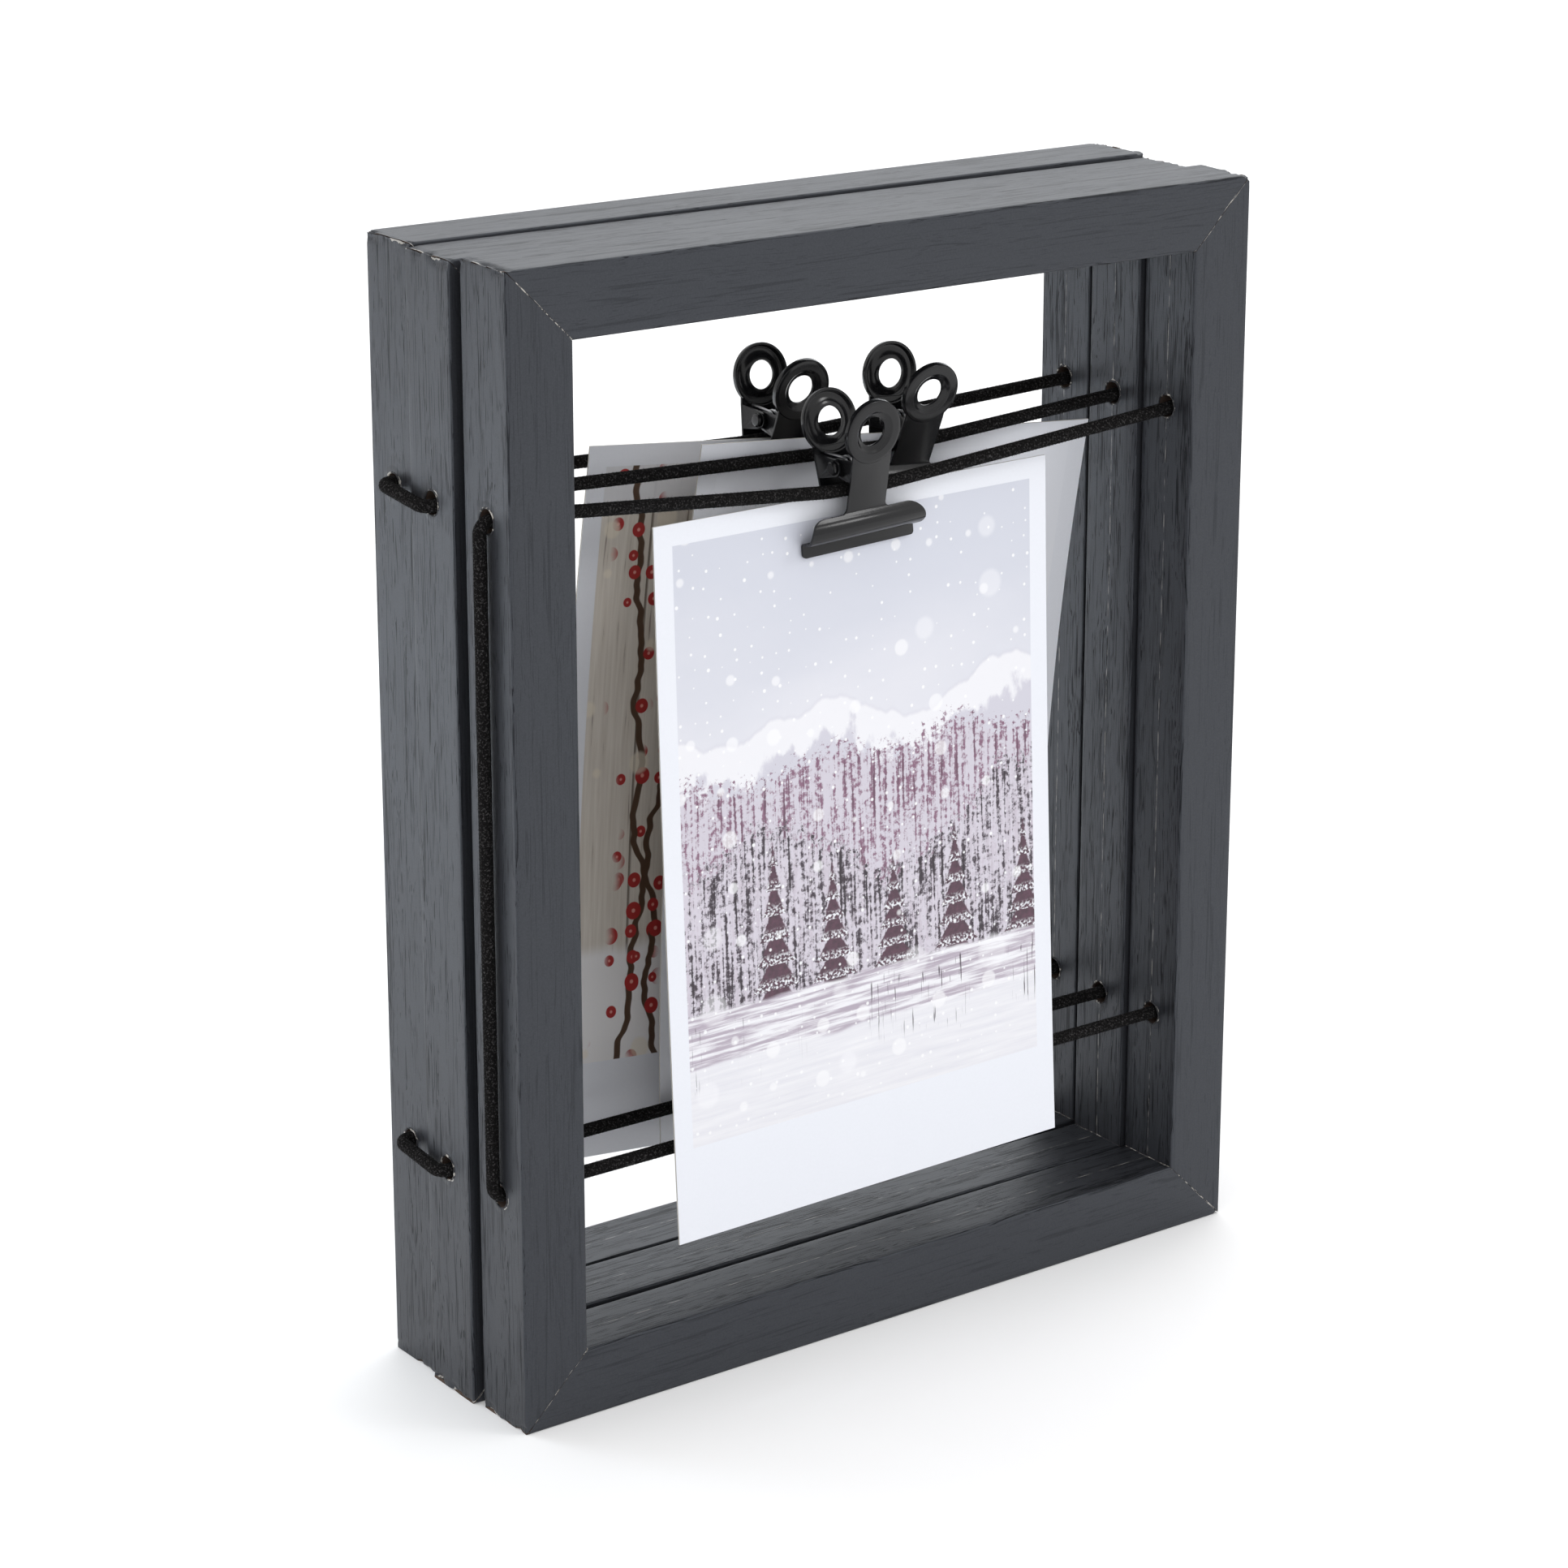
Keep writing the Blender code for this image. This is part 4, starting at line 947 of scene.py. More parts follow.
def mitre_filler(profile, tall, seed):
    """Filler in the four mitre gaps of a panel: thin slices of the moulding's section on the diagonals."""
    random = np.random.default_rng(seed)
    outline = np.array(profile)
    centre = np.array((MOULDING_FACE / 2, 0))

    def build(bm):
        for corner_x, corner_z in ((-1, -1), (1, -1), (-1, 1), (1, 1)):
            swell = random.uniform(*FILLER_SWELL, len(outline)) * MM
            swell = (swell + np.roll(swell, 1) + np.roll(swell, 2)) / 3
            swell[outline[:, 0] < 1 * MM] = -CORNER_CHIP
            outward = outline - centre
            outward /= np.linalg.norm(outward, axis=1)[:, None]
            ragged = outline + outward * swell[:, None]
            rings = []
            for offset in (-FILLER_HALF, FILLER_HALF):
                shift = offset * MITRE_GAP / math.sqrt(2)
                rings.append([bm.verts.new((
                    corner_x * (PANEL_WIDTH / 2 - height + shift),
                    depth,
                    tall / 2 + corner_z * (tall / 2 - height - shift),
                )) for height, depth in ragged])
            count = len(outline)
            for i in range(count):
                j = (i + 1) % count
                bm.faces.new((rings[0][i], rings[0][j], rings[1][j], rings[1][i]))
            bm.faces.new(rings[0])
            bm.faces.new(rings[1])
        bmesh.ops.recalc_face_normals(bm, faces=bm.faces)

    return mesh_from("mitre_filler", build)


def hole_mouths():
    """Points on both mouths of the four cord holes of a panel."""

    def build(bm):
        for side in (-1, 1):
            for from_edge in (0, MOULDING_FACE):
                for height in HOLE_HEIGHTS.values():
                    bm.verts.new((side * (PANEL_WIDTH / 2 - from_edge), 0, height))

    return mesh_from("hole_mouths", build)


def crossing_paths(name):
    """The cords across a window in the panel's frame: the upper one's two halves, and the lower one."""
    hanging = HANGING[name]
    flat = NECK_WIDTH / 2 + CORD_DIAMETER
    under_clip = UPPER_HOLE - hanging.sag
    left = rounded_path([(-CORD_END, 0, UPPER_HOLE), (hanging.along - flat, 0, under_clip),
                         (hanging.along, 0, under_clip)], CORD_BEND)
    right = rounded_path([(hanging.along, 0, under_clip), (hanging.along + flat, 0, under_clip),
                          (CORD_END, 0, UPPER_HOLE)], CORD_BEND)
    return left, right, [Vector((-CORD_END, 0, LOWER_HOLE)), Vector((CORD_END, 0, LOWER_HOLE))]


def side_path(side):
    """The cord's upright run on a stile's outer face, turned into the two holes at its ends."""
    inside = side * (PANEL_WIDTH / 2 - MOULDING_FACE / 2 + CLEARANCE / 2)
    outside = side * (PANEL_WIDTH / 2 + CORD_OFF_FACE)
    return rounded_path([(inside, 0, UPPER_HOLE), (outside, 0, UPPER_HOLE), (outside, 0, LOWER_HOLE),
                         (inside, 0, LOWER_HOLE)], HOLE_RADIUS)


def tie_path(side, behind, before, height):
    """The cord from a hole in one panel to the same hole in the next, clear of the one further out."""
    inside = side * (PANEL_WIDTH / 2 - MOULDING_FACE / 2 + CLEARANCE / 2)
    outside = side * (PANEL_WIDTH / 2 + CORD_OFF_FACE)
    return rounded_path([behind @ Vector((inside, 0, height)),
                         behind @ Vector((outside + side * SIDE_STEP, 0, height + TIE_SLANT)),
                         before @ Vector((outside, 0, height - TIE_SLANT)),
                         before @ Vector((inside, 0, height))], HOLE_RADIUS)


def boolean(obj, operation, mesh, matrix):
    """Cuts or joins a mesh with another, given in the same frame."""
    operand = add_object(f"{obj.name}_{operation.lower()}", mesh)
    operand.matrix_world = matrix
    modifier = obj.modifiers.new(operation.lower(), "BOOLEAN")
    modifier.operation = operation
    modifier.object = operand
    modifier.solver = "EXACT"
    return operand


def prism(name, outline, thickness):
    """A flat outline, filled and given a thickness along Z, as a closed mesh."""
    curve = poly_curve(name, [(u, v, 0) for u, v in outline], cyclic=True)
    curve.dimensions = "2D"
    curve.fill_mode = "BOTH"
    curve.extrude = thickness / 2
    return welded(plain_mesh(add_object(name, curve)))


def turned(name, profile, closed, steps):
    """A profile of (radius, height) points turned about Z."""

    def build(bm):
        verts = [bm.verts.new((radius, 0, height)) for radius, height in profile]
        for a, b in zip(verts, verts[1:] + verts[:1] if closed else verts[1:]):
            bm.edges.new((a, b))

    obj = add_object(name, mesh_from(name, build))
    screw = obj.modifiers.new("turn", "SCREW")
    screw.steps = screw.render_steps = steps
    screw.use_merge_vertices = True
    screw.merge_threshold = WELD
    return welded(plain_mesh(obj))


def welded(mesh):
    """The mesh with its doubled points joined and its faces turned outward."""
    bm = bmesh.new()
    bm.from_mesh(mesh)
    bmesh.ops.remove_doubles(bm, verts=bm.verts, dist=WELD)
    bmesh.ops.recalc_face_normals(bm, faces=bm.faces)
    bm.to_mesh(mesh)
    bm.free()
    return mesh


def neck_out(height):
    """How far the neck's middle stands from the card's plane, at a height from the pin."""
    return NECK_FOOT_OUT + (height + NECK_FOOT_DROP) * math.tan(NECK_LEAN)


def ring_centre():
    """The eyelet's centre in (outward, up), on the line that the handle bends to above the ears."""
    return neck_out(EAR_HEAD_RISE) + (RING_HEIGHT - EAR_HEAD_RISE) * math.tan(HANDLE_LEAN), RING_HEIGHT


def plate_profile():
    """The bent plate seen from its end, as (outward, up) points on the plate's middle, from lip to handle."""
    crease = -CREASE_DROP
    bulge = (BULGE_OUT - BULGE_RADIUS, crease + BULGE_RADIUS)
    lip = (LIP_OUT + LIP_FLARE, -JAW_DROP - PLATE_THICKNESS)
    top = arc(bulge, BULGE_RADIUS, -90, 40, 26)
    foot, head = [(neck_out(h), h) for h in (-NECK_FOOT_DROP, EAR_HEAD_RISE)]
    lower = rounded_path([(*lip, 0), (LIP_OUT, crease, 0), (*top[0], 0)], CREASE_RADIUS, 8)
    corners = [(*top[-1], 0), (*foot, 0), (*head, 0), (*ring_centre(), 0)]
    upper = rounded_path(corners, [NECK_BEND, HANDLE_BEND], 8)
    return [(p.x, p.y) for p in lower[:-1]] + top + [(p.x, p.y) for p in upper[1:]]


def plate_outline():
    """The plate seen square on: lip, jaw with round shoulders, neck and the stump of the handle."""
    half, lip, neck = JAW_WIDTH / 2, JAW_WIDTH / 2 - LIP_INSET, NECK_WIDTH / 2
    crease = -CREASE_DROP
    jaw_top = -NECK_FOOT_DROP - CLEARANCE
    stump = RING_HEIGHT - (RING_RADIUS + EYE_RADIUS) / 2 * math.cos(HANDLE_LEAN)
    right = arc((lip - LIP_CORNER, -JAW_DROP + LIP_CORNER), LIP_CORNER, -90, 0, 6)
    right += [(lip, crease)]
    right += arc((half - JAW_CORNER, jaw_top - JAW_CORNER), JAW_CORNER, 0, 90, 14)
    right += arc((neck + NECK_FILLET, jaw_top + NECK_FILLET), NECK_FILLET, 270, 180, 8)
    right += [(neck, stump + (RING_RADIUS - neck) / 2), (neck * 0.65, stump)]
    return right + [(-u, v) for u, v in reversed(right)]


def ring_profile():
    """The dished eyelet as (radius, outward) points: its outer face from the eye out, then its inner face."""
    rim, eye, sheet = RING_RADIUS, EYE_RADIUS, PLATE_THICKNESS
    crest_in, crest_out = eye + CREST_FROM_EYE, rim - CREST_FROM_RIM
    outer = [(eye, -EYE_DEPTH), (crest_in - 0.6 * MM, -EYE_DEPTH * 0.55), (crest_in, 0), (crest_out, 0),
             (rim - 0.1 * MM, -0.1 * MM), (rim, -RIM_DEPTH)]
    inner = [(rim - sheet, -RIM_DEPTH), (crest_out - 0.1 * MM, -sheet), (crest_in + 0.25 * MM, -sheet),
             (crest_in - 0.35 * MM, -EYE_DEPTH * 0.55 - sheet), (eye, -EYE_DEPTH - sheet)]
    smooth = rounded_path([(r, h, 0) for r, h in outer], [0.9 * MM, 0.45 * MM, 0.3 * MM, 0.35 * MM], 6)
    return [(p.x, p.y) for p in smooth] + inner


def ear_outline():
    """An ear seen from its side as (outward, up): a round end on the pin, widening to the neck."""
    foot = (neck_out(-EAR_FOOT_DROP), -EAR_FOOT_DROP)
    head = (neck_out(EAR_HEAD_RISE), EAR_HEAD_RISE)
    return arc((0, 0), EAR_RADIUS, 90, 270, 20) + [foot, head]


def jaw_plate(name, ear_x):
    """One stamped and bent plate of a clip, standing on the -Y side of the pin."""

    def build(bm):
        ends = [bm.verts.new((-JAW_WIDTH, -out, up)) for out, up in plate_profile()]
        edges = [bm.edges.new(pair) for pair in zip(ends, ends[1:])]
        drawn = bmesh.ops.extrude_edge_only(bm, edges=edges)
        moved = [g for g in drawn["geom"] if isinstance(g, bmesh.types.BMVert)]
        bmesh.ops.translate(bm, vec=(2 * JAW_WIDTH, 0, 0), verts=moved)

    sheet = add_object(name, mesh_from(name, build))
    wall = sheet.modifiers.new("wall", "SOLIDIFY")
    wall.thickness = PLATE_THICKNESS
    wall.offset = 0
    outline = prism("outline", plate_outline(), 4 * RING_RADIUS)
    operands = [boolean(sheet, "INTERSECT", outline, Matrix.Rotation(math.pi / 2, 4, "X"))]
    out, up = ring_centre()
    right, along = Vector((1, 0, 0)), Vector((0, -math.sin(HANDLE_LEAN), math.cos(HANDLE_LEAN)))
    outward = right.cross(along)
    stand = Matrix((right, along, outward)).transposed().to_4x4()
    stand.translation = Vector((0, -out, up)) + outward * RING_STEP
    operands.append(boolean(sheet, "UNION", turned("ring", ring_profile(), True, 64), stand))
    sideways = Matrix(((0, 0, -1), (-1, 0, 0), (0, 1, 0))).to_4x4()
    for side in (-1, 1):
        ear = prism("ear", ear_outline(), PLATE_THICKNESS)
        operands.append(boolean(sheet, "UNION", ear, Matrix.Translation((side * ear_x, 0, 0)) @ sideways))
    hole = PIN_RADIUS + CLEARANCE
    reach = NECK_WIDTH
    bore = turned("pin_hole", [(0, reach), (hole, reach), (hole, -reach), (0, -reach)], False, 40)
    operands.append(boolean(sheet, "DIFFERENCE", bore, Matrix.Rotation(math.pi / 2, 4, "Y")))
    bevel = sheet.modifiers.new("pressed_edges", "BEVEL")
    bevel.width = PRESSED_EDGE
    bevel.segments = 2
    bevel.limit_method = "ANGLE"
    bevel.angle_limit = math.radians(50)
    mesh = welded(plain_mesh(sheet))
    for operand in operands:
        bpy.data.objects.remove(operand)
    return mesh


def hinge_pin():
    """A plain pin on X with a low rivet head at each end."""
    end, head, rise = PIN_HALF_LENGTH, PIN_HEAD_RADIUS, PIN_HEAD_HEIGHT
    dome = arc((head - rise, end), rise, 90, 0, 8)
    top = [(0, end + rise)] + dome + [(PIN_RADIUS, end)]
    profile = top + [(radius, -height) for radius, height in reversed(top)]
    mesh = turned("hinge_pin", profile, False, 48)
    mesh.transform(Matrix.Rotation(math.pi / 2, 4, "Y"))
    return mesh


def spring_path():
    """The torsion spring's wire: a leg off the rear handle, a coil about the pin, and the other leg."""
    half_plate = PLATE_THICKNESS / 2 / math.cos(NECK_LEAN)
    leg_out = neck_out(SPRING_LEG_RISE) - half_plate - CLEARANCE - SPRING_WIRE / 2
    bearing = math.atan2(SPRING_LEG_RISE, leg_out)
    touch = bearing + math.acos(SPRING_RADIUS / math.hypot(leg_out, SPRING_LEG_RISE))
    sweep = 2 * math.pi * SPRING_TURNS - 2 * (touch - math.pi / 2)
    length = SPRING_PITCH * sweep / (2 * math.pi)
    steps = SPRING_TURNS * 40
    path = [Vector((-length / 2, leg_out, SPRING_LEG_RISE))]
    for step in range(steps + 1):
        angle = touch + sweep * step / steps
        along = length * (step / steps - 0.5)
        path.append(Vector((along, SPRING_RADIUS * math.cos(angle), SPRING_RADIUS * math.sin(angle))))
    path.append(Vector((length / 2, -leg_out, SPRING_LEG_RISE)))
    return path


def card_mesh(name, columns=34, rows=60):
    """A card in the clip's frame: printed front, plain back and edges. It curls to pass the lower cord."""
    hanging = HANGING[name]
    top = hanging.card_rise - PIN_ABOVE_CORD
    cord_to_cord = (UPPER_HOLE - hanging.sag - LOWER_HOLE) / math.cos(hanging.lean)
    flat_out = hanging.side * CARD_TO_CORD + cord_to_cord * math.sin(hanging.lean)
    curled_out = hanging.foot_side * (CARD_TO_CORD + hanging.foot_off)
    curl = (flat_out - curled_out) / (cord_to_cord + PIN_ABOVE_CORD - JAW_DROP) ** 2
    turn = Matrix.Translation((hanging.card_shift, 0, top)) @ Matrix.Rotation(hanging.card_turn, 4, "Y")

    def place(u, v, out):
        spot = turn @ Vector(((u - 0.5) * CARD_WIDTH, 0, (v - 1) * CARD_HEIGHT))
        below = max(0.0, -JAW_DROP - spot.z)
        slope = math.atan(2 * curl * below)
        spot.y -= curl * below ** 2
        return spot + Vector((0, math.cos(slope), -math.sin(slope))) * out

    def build(bm):
        uv = bm.loops.layers.uv.new("UVMap")
        spots = [[(column / columns, row / rows) for column in range(columns + 1)] for row in range(rows + 1)]
        front = [[bm.verts.new(place(*spot, -CARD_THICKNESS / 2)) for spot in line] for line in spots]
        back = [[bm.verts.new(place(*spot, CARD_THICKNESS / 2)) for spot in line] for line in spots]
        at = {vert: spots[row][column] for side in (front, back) for row, line in enumerate(side)
              for column, vert in enumerate(line)}
        for row in range(rows):
            for column in range(columns):
                ring = [(row, column), (row, column + 1), (row + 1, column + 1), (row + 1, column)]
                bm.faces.new([front[r][c] for r, c in ring])
                bm.faces.new([back[r][c] for r, c in reversed(ring)]).material_index = 1
        edge = [(0, c) for c in range(columns)] + [(r, columns) for r in range(rows)]
        edge += [(rows, c) for c in range(columns, 0, -1)] + [(r, 0) for r in range(rows, 0, -1)]
        for (r, c), (s, d) in zip(edge, edge[1:] + edge[:1]):
            bm.faces.new((front[s][d], front[r][c], back[r][c], back[s][d])).material_index = 1
        for face in bm.faces:
            for loop in face.loops:
                loop[uv].uv = at[loop.vert]

    return mesh_from(f"{name}_card", build)


# What every colour in the sidebar shares
COLOUR = {"subtype": "COLOR", "size": 3, "min": 0, "max": 1}


class MouldingLook(bpy.types.PropertyGroup):
    """The wooden panels."""

    colour: FloatVectorProperty(
        name="Foil", description="Colour of the printed foil", default=(0.0225, 0.0237, 0.0280), **COLOUR)
    torn_colour: FloatVectorProperty(
        name="Torn Edge", description="Colour of torn foil and filler", default=(0.62, 0.59, 0.54), **COLOUR)
    wood_colour: FloatVectorProperty(
        name="Bare Wood", description="Colour inside holes and cuts", default=(0.085, 0.055, 0.04), **COLOUR)
    roughness: FloatProperty(
        name="Roughness", description="How matt the foil is", default=0.42, min=0.1, max=0.9,
        subtype="FACTOR")
    edge_radius: FloatProperty(
        name="Edge Radius", description="Rounding of the long edges", default=0.45 * MM,
        min=0.2 * MM, max=3 * MM, unit="LENGTH")
    wear: FloatProperty(
        name="Corner Wear", description="How far the mitred corners are chipped back", default=0.8 * MM,
        min=0, max=2 * MM, unit="LENGTH")


class CordLook(bpy.types.PropertyGroup):
    """The elastic cord."""

    colour: FloatVectorProperty(
        name="Yarn", description="Colour of the braid", default=(0.0088, 0.0084, 0.0085), **COLOUR)
    strands: IntProperty(
        name="Strands", description="Strands each way round the braid", default=10, min=4, max=24)
    lay: FloatProperty(
        name="Lay", description="Length in which a strand goes once round", default=9 * MM,
        min=3 * MM, max=30 * MM, unit="LENGTH")
    weave_depth: FloatProperty(
        name="Weave Depth", description="How deep the braid's valleys are", default=0.16 * MM,
        min=0, max=0.5 * MM, unit="LENGTH")
    fibres: FloatProperty(
        name="Loose Fibres", description="Loose fibres on a square metre of braid", default=2.2e6,
        min=0, max=5e6)


class ClipLook(bpy.types.PropertyGroup):
    """The bulldog clips and the steel parts."""

    colour: FloatVectorProperty(
        name="Enamel", description="Colour of the clips", default=(0.007, 0.007, 0.008), **COLOUR)
    roughness: FloatProperty(
        name="Roughness", description="How matt the enamel is", default=0.17, min=0.1, max=0.9,
        subtype="FACTOR")
    steel_colour: FloatVectorProperty(
        name="Steel", description="Colour of springs and nails", default=(0.50, 0.50, 0.51), **COLOUR)


class CardLook(bpy.types.PropertyGroup):
    """The photo cards."""

    paper_colour: FloatVectorProperty(
        name="Paper", description="Colour of the plain margins", default=(0.845, 0.865, 0.925), **COLOUR)
    edge_colour: FloatVectorProperty(
        name="Back and Edges", description="Colour of the back and the cut edges",
        default=(0.80, 0.77, 0.72), **COLOUR)
    margin: FloatProperty(
        name="Margin", description="Plain margin at the top and sides", default=4.5 * MM,
        min=0, max=20 * MM, unit="LENGTH")
    foot_margin: FloatProperty(
        name="Foot Margin", description="Plain margin at the foot", default=20 * MM,
        min=0, max=60 * MM, unit="LENGTH")


class StageLook(bpy.types.PropertyGroup):
    """Floor and light."""

    floor_colour: FloatVectorProperty(
        name="Floor", description="Colour of the floor", default=(0.90, 0.90, 0.905), **COLOUR)
    floor_lift: FloatProperty(
        name="Floor Lift", description="Light added to the floor as the camera sees it", default=0.13,
        min=0, max=1)
    fill: FloatProperty(
        name="Fill", description="Strength of the light from all round", default=1.0, min=0, max=2)
    key: FloatProperty(
        name="Key", description="Power of the large lamp at the upper right", default=9.0,
        min=0, max=200, unit="POWER")
    back: FloatProperty(
        name="Back Lamps", description="Power of the lamps that whiten the floor behind the frame",
        default=9.0, min=0, max=100, unit="POWER")
    back_tint: FloatVectorProperty(
        name="Back Tint", description="Colour of the lamps behind the frame", default=(0.80, 0.90, 1.0),
        **COLOUR)
    sparkle: FloatProperty(
        name="Sparkle", description="Power of the small lamp that puts glints on the clips", default=2.4,
        min=0, max=50, unit="POWER")


LOOKS = {"photo_frame_moulding": MouldingLook, "photo_frame_cord": CordLook, "photo_frame_clip": ClipLook,
         "photo_frame_card": CardLook, "photo_frame_stage": StageLook}


class PHOTO_FRAME_OT_mouldings(bpy.types.Operator):
    """Makes the rails and stiles of the three panels, with the filler in their mitres and torn hole rims"""

    bl_idname = "photo_frame.mouldings"
    bl_label = "Make Mouldings"

    def execute(self, context):
        look = context.scene.photo_frame_moulding
        foil, wood = foil_material(look), wood_material(look)
        filler = torn_material("mitre_filler", look, FILLER_SHARE)
        torn = torn_material("torn_foil", look, RIM_SHARE)
        profile = moulding_profile(look.edge_radius)
        sweep, rim = moulding_tree(), rim_tree()
        for number, name in enumerate(PANELS):
            stand = panel_matrix(name)
            tall = PANEL_HEIGHTS[name]
            for member, (length, place, turn, off) in panel_members(tall).items():
                node = f"{name}_{member}"
                section = poly_curve(node, [(depth, -height, 0) for height, depth in profile], cyclic=True)
                mesh = sweep.mesh(node, section, {
                    "Length": length, "Face": MOULDING_FACE, "Mitre Gap": MITRE_GAP, "Wear": look.wear,
                    "Seed": GRAIN_STEP * (4 * number + len(member)), "Bored": member.endswith("stile"),
                    "Bore Offset": UPPER_HOLE - PANEL_HEIGHT / 2, "Bore Shift": off,
                    "Bore Radius": HOLE_RADIUS, "Material": foil, "Wood": wood})
                welded(mesh)
                turned_up = Matrix.Rotation(math.radians(turn), 4, "Y")
                mesh.transform(stand @ Matrix.Translation(place) @ turned_up)
                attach(add_piece(f"{node}_moulding", mesh, [node]), f"{name}_panel")
            mesh = mitre_filler(profile, tall, number)
            mesh.materials.append(filler)
            mesh.transform(stand)
            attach(add_piece(f"{name}_mitre_filler", mesh), f"{name}_panel")
            mesh = rim.mesh(f"{name}_hole_rims", hole_mouths(), {
                "Radius": HOLE_RADIUS + RIM_OUT, "Bead": RIM_BEAD, "Ragged": RIM_RAGGED, "Material": torn})
            mesh.transform(stand)
            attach(add_piece(f"{name}_hole_rims", mesh), f"{name}_panel")
        return {"FINISHED"}


class PHOTO_FRAME_OT_nails(bpy.types.Operator):
    """Gives the V-nails in the mitres their finish"""

    bl_idname = "photo_frame.nails"
    bl_label = "Finish Nails"

    def execute(self, context):
        look = context.scene.photo_frame_clip
        steel = steel_material("nail_steel", look.steel_colour, NAIL_ROUGHNESS)
        for node, obj in frame["nodes"].items():
            if "_v_nail_" in node:
                obj.data.materials.clear()
                obj.data.materials.append(steel)
        return {"FINISHED"}


class PHOTO_FRAME_OT_cords(bpy.types.Operator):
    """Makes the braided cord: window crossings, upright side runs and the ties between panels"""

    bl_idname = "photo_frame.cords"
    bl_label = "Make Cords"

    def execute(self, context):
        look = context.scene.photo_frame_cord
        braid, sleeve = braid_material(look), sleeve_tree()

        def cord(name, path, node, seed):
            mesh = sleeve.mesh(name, poly_curve(name, path), {
                "Diameter": CORD_DIAMETER, "Facets": CORD_FACETS, "Step": CORD_STEP,
                "Strands": look.strands, "Lay": look.lay, "Weave Depth": look.weave_depth,
                "Fibres": look.fibres, "Fibre Length": FIBRE_LENGTH, "Seed": seed, "Material": braid})
            return add_piece(name, mesh, [node])

        stands = {name: panel_matrix(name) for name in PANELS}
        for number, name in enumerate(PANELS):
            stand, panel = stands[name], f"{name}_panel"
            left, right, lower = [[stand @ point for point in path] for path in crossing_paths(name)]
            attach(cord(f"{name}_lower_crossing", lower, f"{name}_lower_cord", number), panel)
            upper = f"{name}_upper_cord"
            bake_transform(cord(f"{name}_upper_crossing_left", left, upper, 10 + number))
            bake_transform(cord(f"{name}_upper_crossing_right", right, upper, 20 + number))
        for name, side in (("front", -1), ("back", 1)):
            path = [stands[name] @ point for point in side_path(side)]
            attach(cord(f"{name}_side_run", path, f"{name}_side_cord", 30 + side), f"{name}_panel")
        for label, side, behind, before in (("left", -1, "back", "middle"), ("right", 1, "middle", "front")):
            for level, height in HOLE_HEIGHTS.items():
                path = tie_path(side, stands[behind], stands[before], height)
                tie = cord(f"{label}_{level}_tie_cord", path, f"{label}_{level}_tie", 40 + side)
                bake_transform(tie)
        return {"FINISHED"}


class PHOTO_FRAME_OT_clips(bpy.types.Operator):
    """Makes the bulldog clips: two bent plates, a hinge pin and a torsion spring each"""

    bl_idname = "photo_frame.clips"
    bl_label = "Make Clips"

    def execute(self, context):
        look = context.scene.photo_frame_clip
        enamel = enamel_material(look)
        steel = steel_material("spring_steel", look.steel_colour, SPRING_ROUGHNESS)
        rear_turn = Matrix.Rotation(math.pi, 4, "Z")
        shapes = {
            "clip_front_jaw": jaw_plate("front_jaw", INNER_EAR_X),
            "clip_rear_jaw": jaw_plate("rear_jaw", OUTER_EAR_X),
            "clip_pin": hinge_pin(),
        }
        shapes["clip_rear_jaw"].transform(rear_turn)
        for mesh in shapes.values():
            mesh.materials.clear()
            mesh.materials.append(enamel)
        wire = sleeve_tree()
        path = spring_path()
        for number, name in enumerate(PANELS):
            stand = clip_matrix(name)
            for shape, mesh in shapes.items():
                node = f"{name}_{shape}"
                piece = mesh.copy()
                piece.transform(stand)
                body = frame["nodes"][node]["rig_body"]
                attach(add_piece(f"{node}_enamelled", piece, [node]), body)
            mesh = wire.mesh(f"{name}_clip_coil", poly_curve("wire", path), {
                "Diameter": SPRING_WIRE, "Facets": SPRING_FACETS, "Step": SPRING_STEP, "Strands": 4,
                "Lay": 1.0, "Weave Depth": 0.0, "Fibres": 0.0, "Fibre Length": FIBRE_LENGTH, "Seed": 0,
                "Material": steel})
            mesh.transform(stand)
            coil = add_piece(f"{name}_clip_coil", mesh, [f"{name}_clip_spring"])
            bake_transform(coil)
        return {"FINISHED"}


class PHOTO_FRAME_OT_cards(bpy.types.Operator):
    """Makes the printed cards that hang in the clips"""

    bl_idname = "photo_frame.cards"
    bl_label = "Make Cards"

    def execute(self, context):
        look = context.scene.photo_frame_card
        paper = paper_material(look)
        prints = {"front": winter_lake(look), "middle": misty_hills(look), "back": berry_twigs(look)}
        for name in PANELS:
            mesh = card_mesh(name)
            mesh.materials.append(prints[name])
            mesh.materials.append(paper)
            mesh.transform(clip_matrix(name))
            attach(add_piece(f"{name}_print", mesh, [f"{name}_photo_card"]), f"{name}_clip")
        return {"FINISHED"}


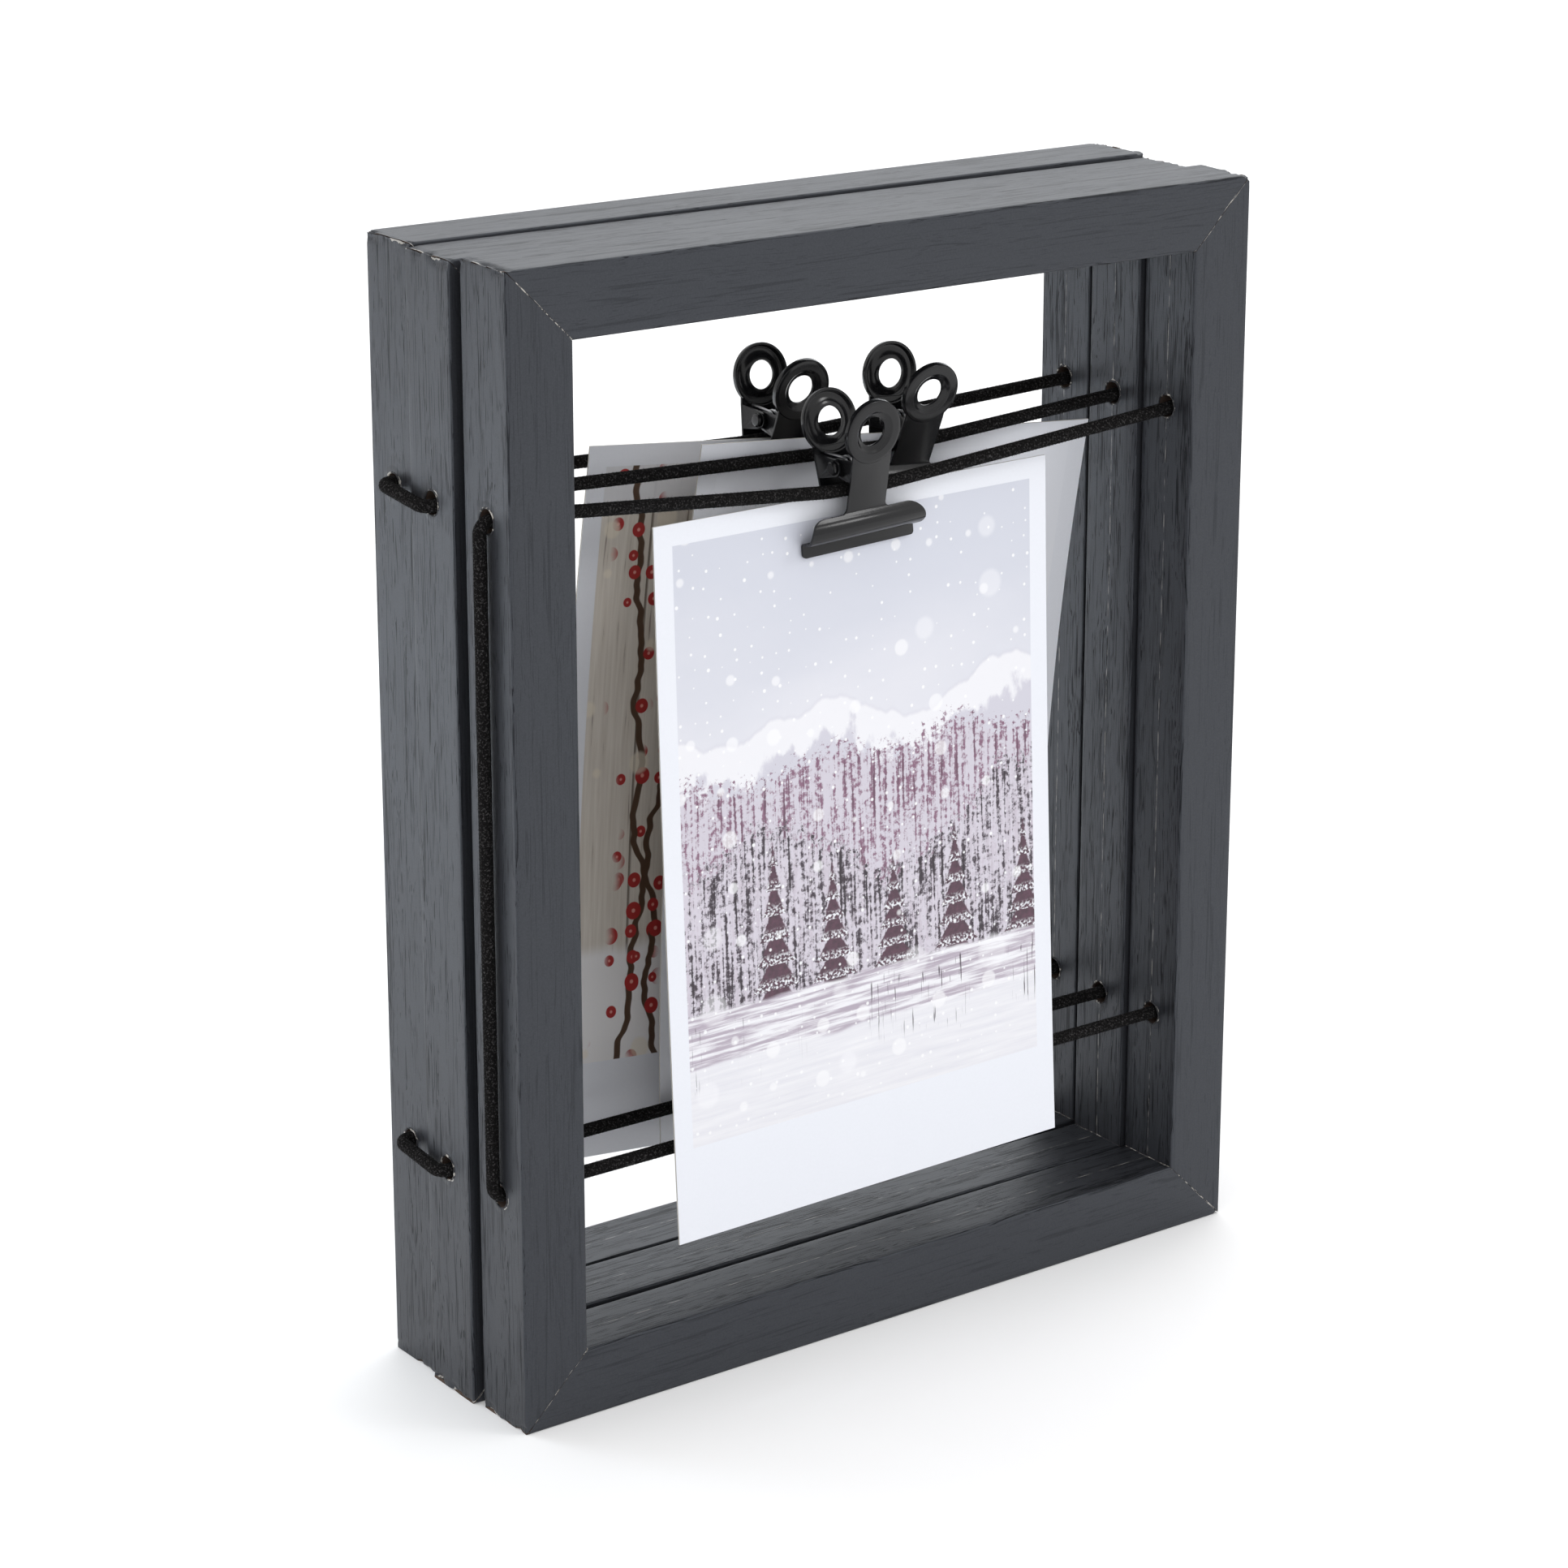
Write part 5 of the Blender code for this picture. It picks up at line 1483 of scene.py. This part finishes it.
class PHOTO_FRAME_OT_stage(bpy.types.Operator):
    """Makes the floor, the lamps, the surrounding light and the camera"""

    bl_idname = "photo_frame.stage"
    bl_label = "Make Stage"

    def execute(self, context):
        look = context.scene.photo_frame_stage
        self.make_floor(look)
        self.make_world(context.scene, look)
        self.make_lamp("key_lamp", KEY_LAMP, look.key)
        self.make_lamp("sparkle_lamp", SPARKLE_LAMP, look.sparkle)
        backdrop = self.make_lamp("backdrop_lamp", BACKDROP_LAMP, look.back * BACKDROP_SHARE)
        beam = self.make_lamp("floor_lamp", FLOOR_LAMP, look.back * FLOOR_SHARE)
        beam.spread = FLOOR_LAMP_SPREAD
        beam.color = backdrop.color = look.back_tint
        self.make_camera(context.scene)
        context.scene.view_settings.view_transform = "Standard"
        return {"FINISHED"}

    def make_floor(self, look):
        floor = add_object("floor", mesh_from("floor", lambda bm: bmesh.ops.create_grid(
            bm, x_segments=1, y_segments=1, size=FLOOR_SIZE)))
        floor.data.materials.append(floor_material(look))

    def make_world(self, scene, look):
        """White all round for the camera and for reflections, and a softer fill for everything else."""
        scene.world = bpy.data.worlds.new("studio")
        scene.world.use_nodes = True
        tree = Tree(scene.world.node_tree.nodes, scene.world.node_tree.links)
        background = scene.world.node_tree.nodes["Background"]
        background.inputs["Color"].default_value = (1, 1, 1, 1)
        tree.feed(background.inputs["Strength"], tree.spread(seen_rays(tree), look.fill, 1.0))

    def make_lamp(self, name, lamp, power):
        light = bpy.data.lights.new(name, "AREA")
        light.energy = power
        light.size = lamp.size
        turn = (lamp.target - lamp.place).to_track_quat("-Z", "Y").to_matrix().to_4x4()
        add_object(name, light).matrix_world = Matrix.Translation(lamp.place) @ turn
        return light

    def make_camera(self, scene):
        camera = bpy.data.cameras.new("camera")
        camera.lens = CAMERA_LENS
        camera.sensor_width = CAMERA_SENSOR
        camera.shift_x, camera.shift_y = CAMERA_SHIFT
        camera.clip_start = CAMERA_NEAR
        scene.camera = add_object("camera", camera)
        up = CAMERA_RIGHT.cross(CAMERA_AHEAD)
        matrix = Matrix((CAMERA_RIGHT, up, -CAMERA_AHEAD)).transposed().to_4x4()
        matrix.translation = CAMERA_PLACE
        scene.camera.matrix_world = matrix


OPERATORS = (PHOTO_FRAME_OT_mouldings, PHOTO_FRAME_OT_nails, PHOTO_FRAME_OT_cords, PHOTO_FRAME_OT_clips,
             PHOTO_FRAME_OT_cards, PHOTO_FRAME_OT_stage)


class PHOTO_FRAME_PT_sidebar(bpy.types.Panel):
    """Sizes, colours and steps of the photo frame"""

    bl_idname = "PHOTO_FRAME_PT_sidebar"
    bl_label = "Photo Frame"
    bl_space_type = "VIEW_3D"
    bl_region_type = "UI"
    bl_category = "Photo Frame"

    def draw(self, context):
        for name, look in LOOKS.items():
            box = self.layout.box()
            for prop in look.__annotations__:
                box.prop(getattr(context.scene, name), prop)
        for operator in OPERATORS:
            self.layout.operator(operator.bl_idname)


def register():
    for kind in (*LOOKS.values(), *OPERATORS, PHOTO_FRAME_PT_sidebar):
        bpy.utils.register_class(kind)
    for name, look in LOOKS.items():
        setattr(bpy.types.Scene, name, PointerProperty(type=look))


def unregister():
    for name in LOOKS:
        delattr(bpy.types.Scene, name)
    for kind in reversed((*LOOKS.values(), *OPERATORS, PHOTO_FRAME_PT_sidebar)):
        bpy.utils.unregister_class(kind)


def main():
    register()
    for operator in OPERATORS:
        getattr(bpy.ops.photo_frame, operator.bl_idname.split(".")[1])()


if __name__ == "__main__":
    main()
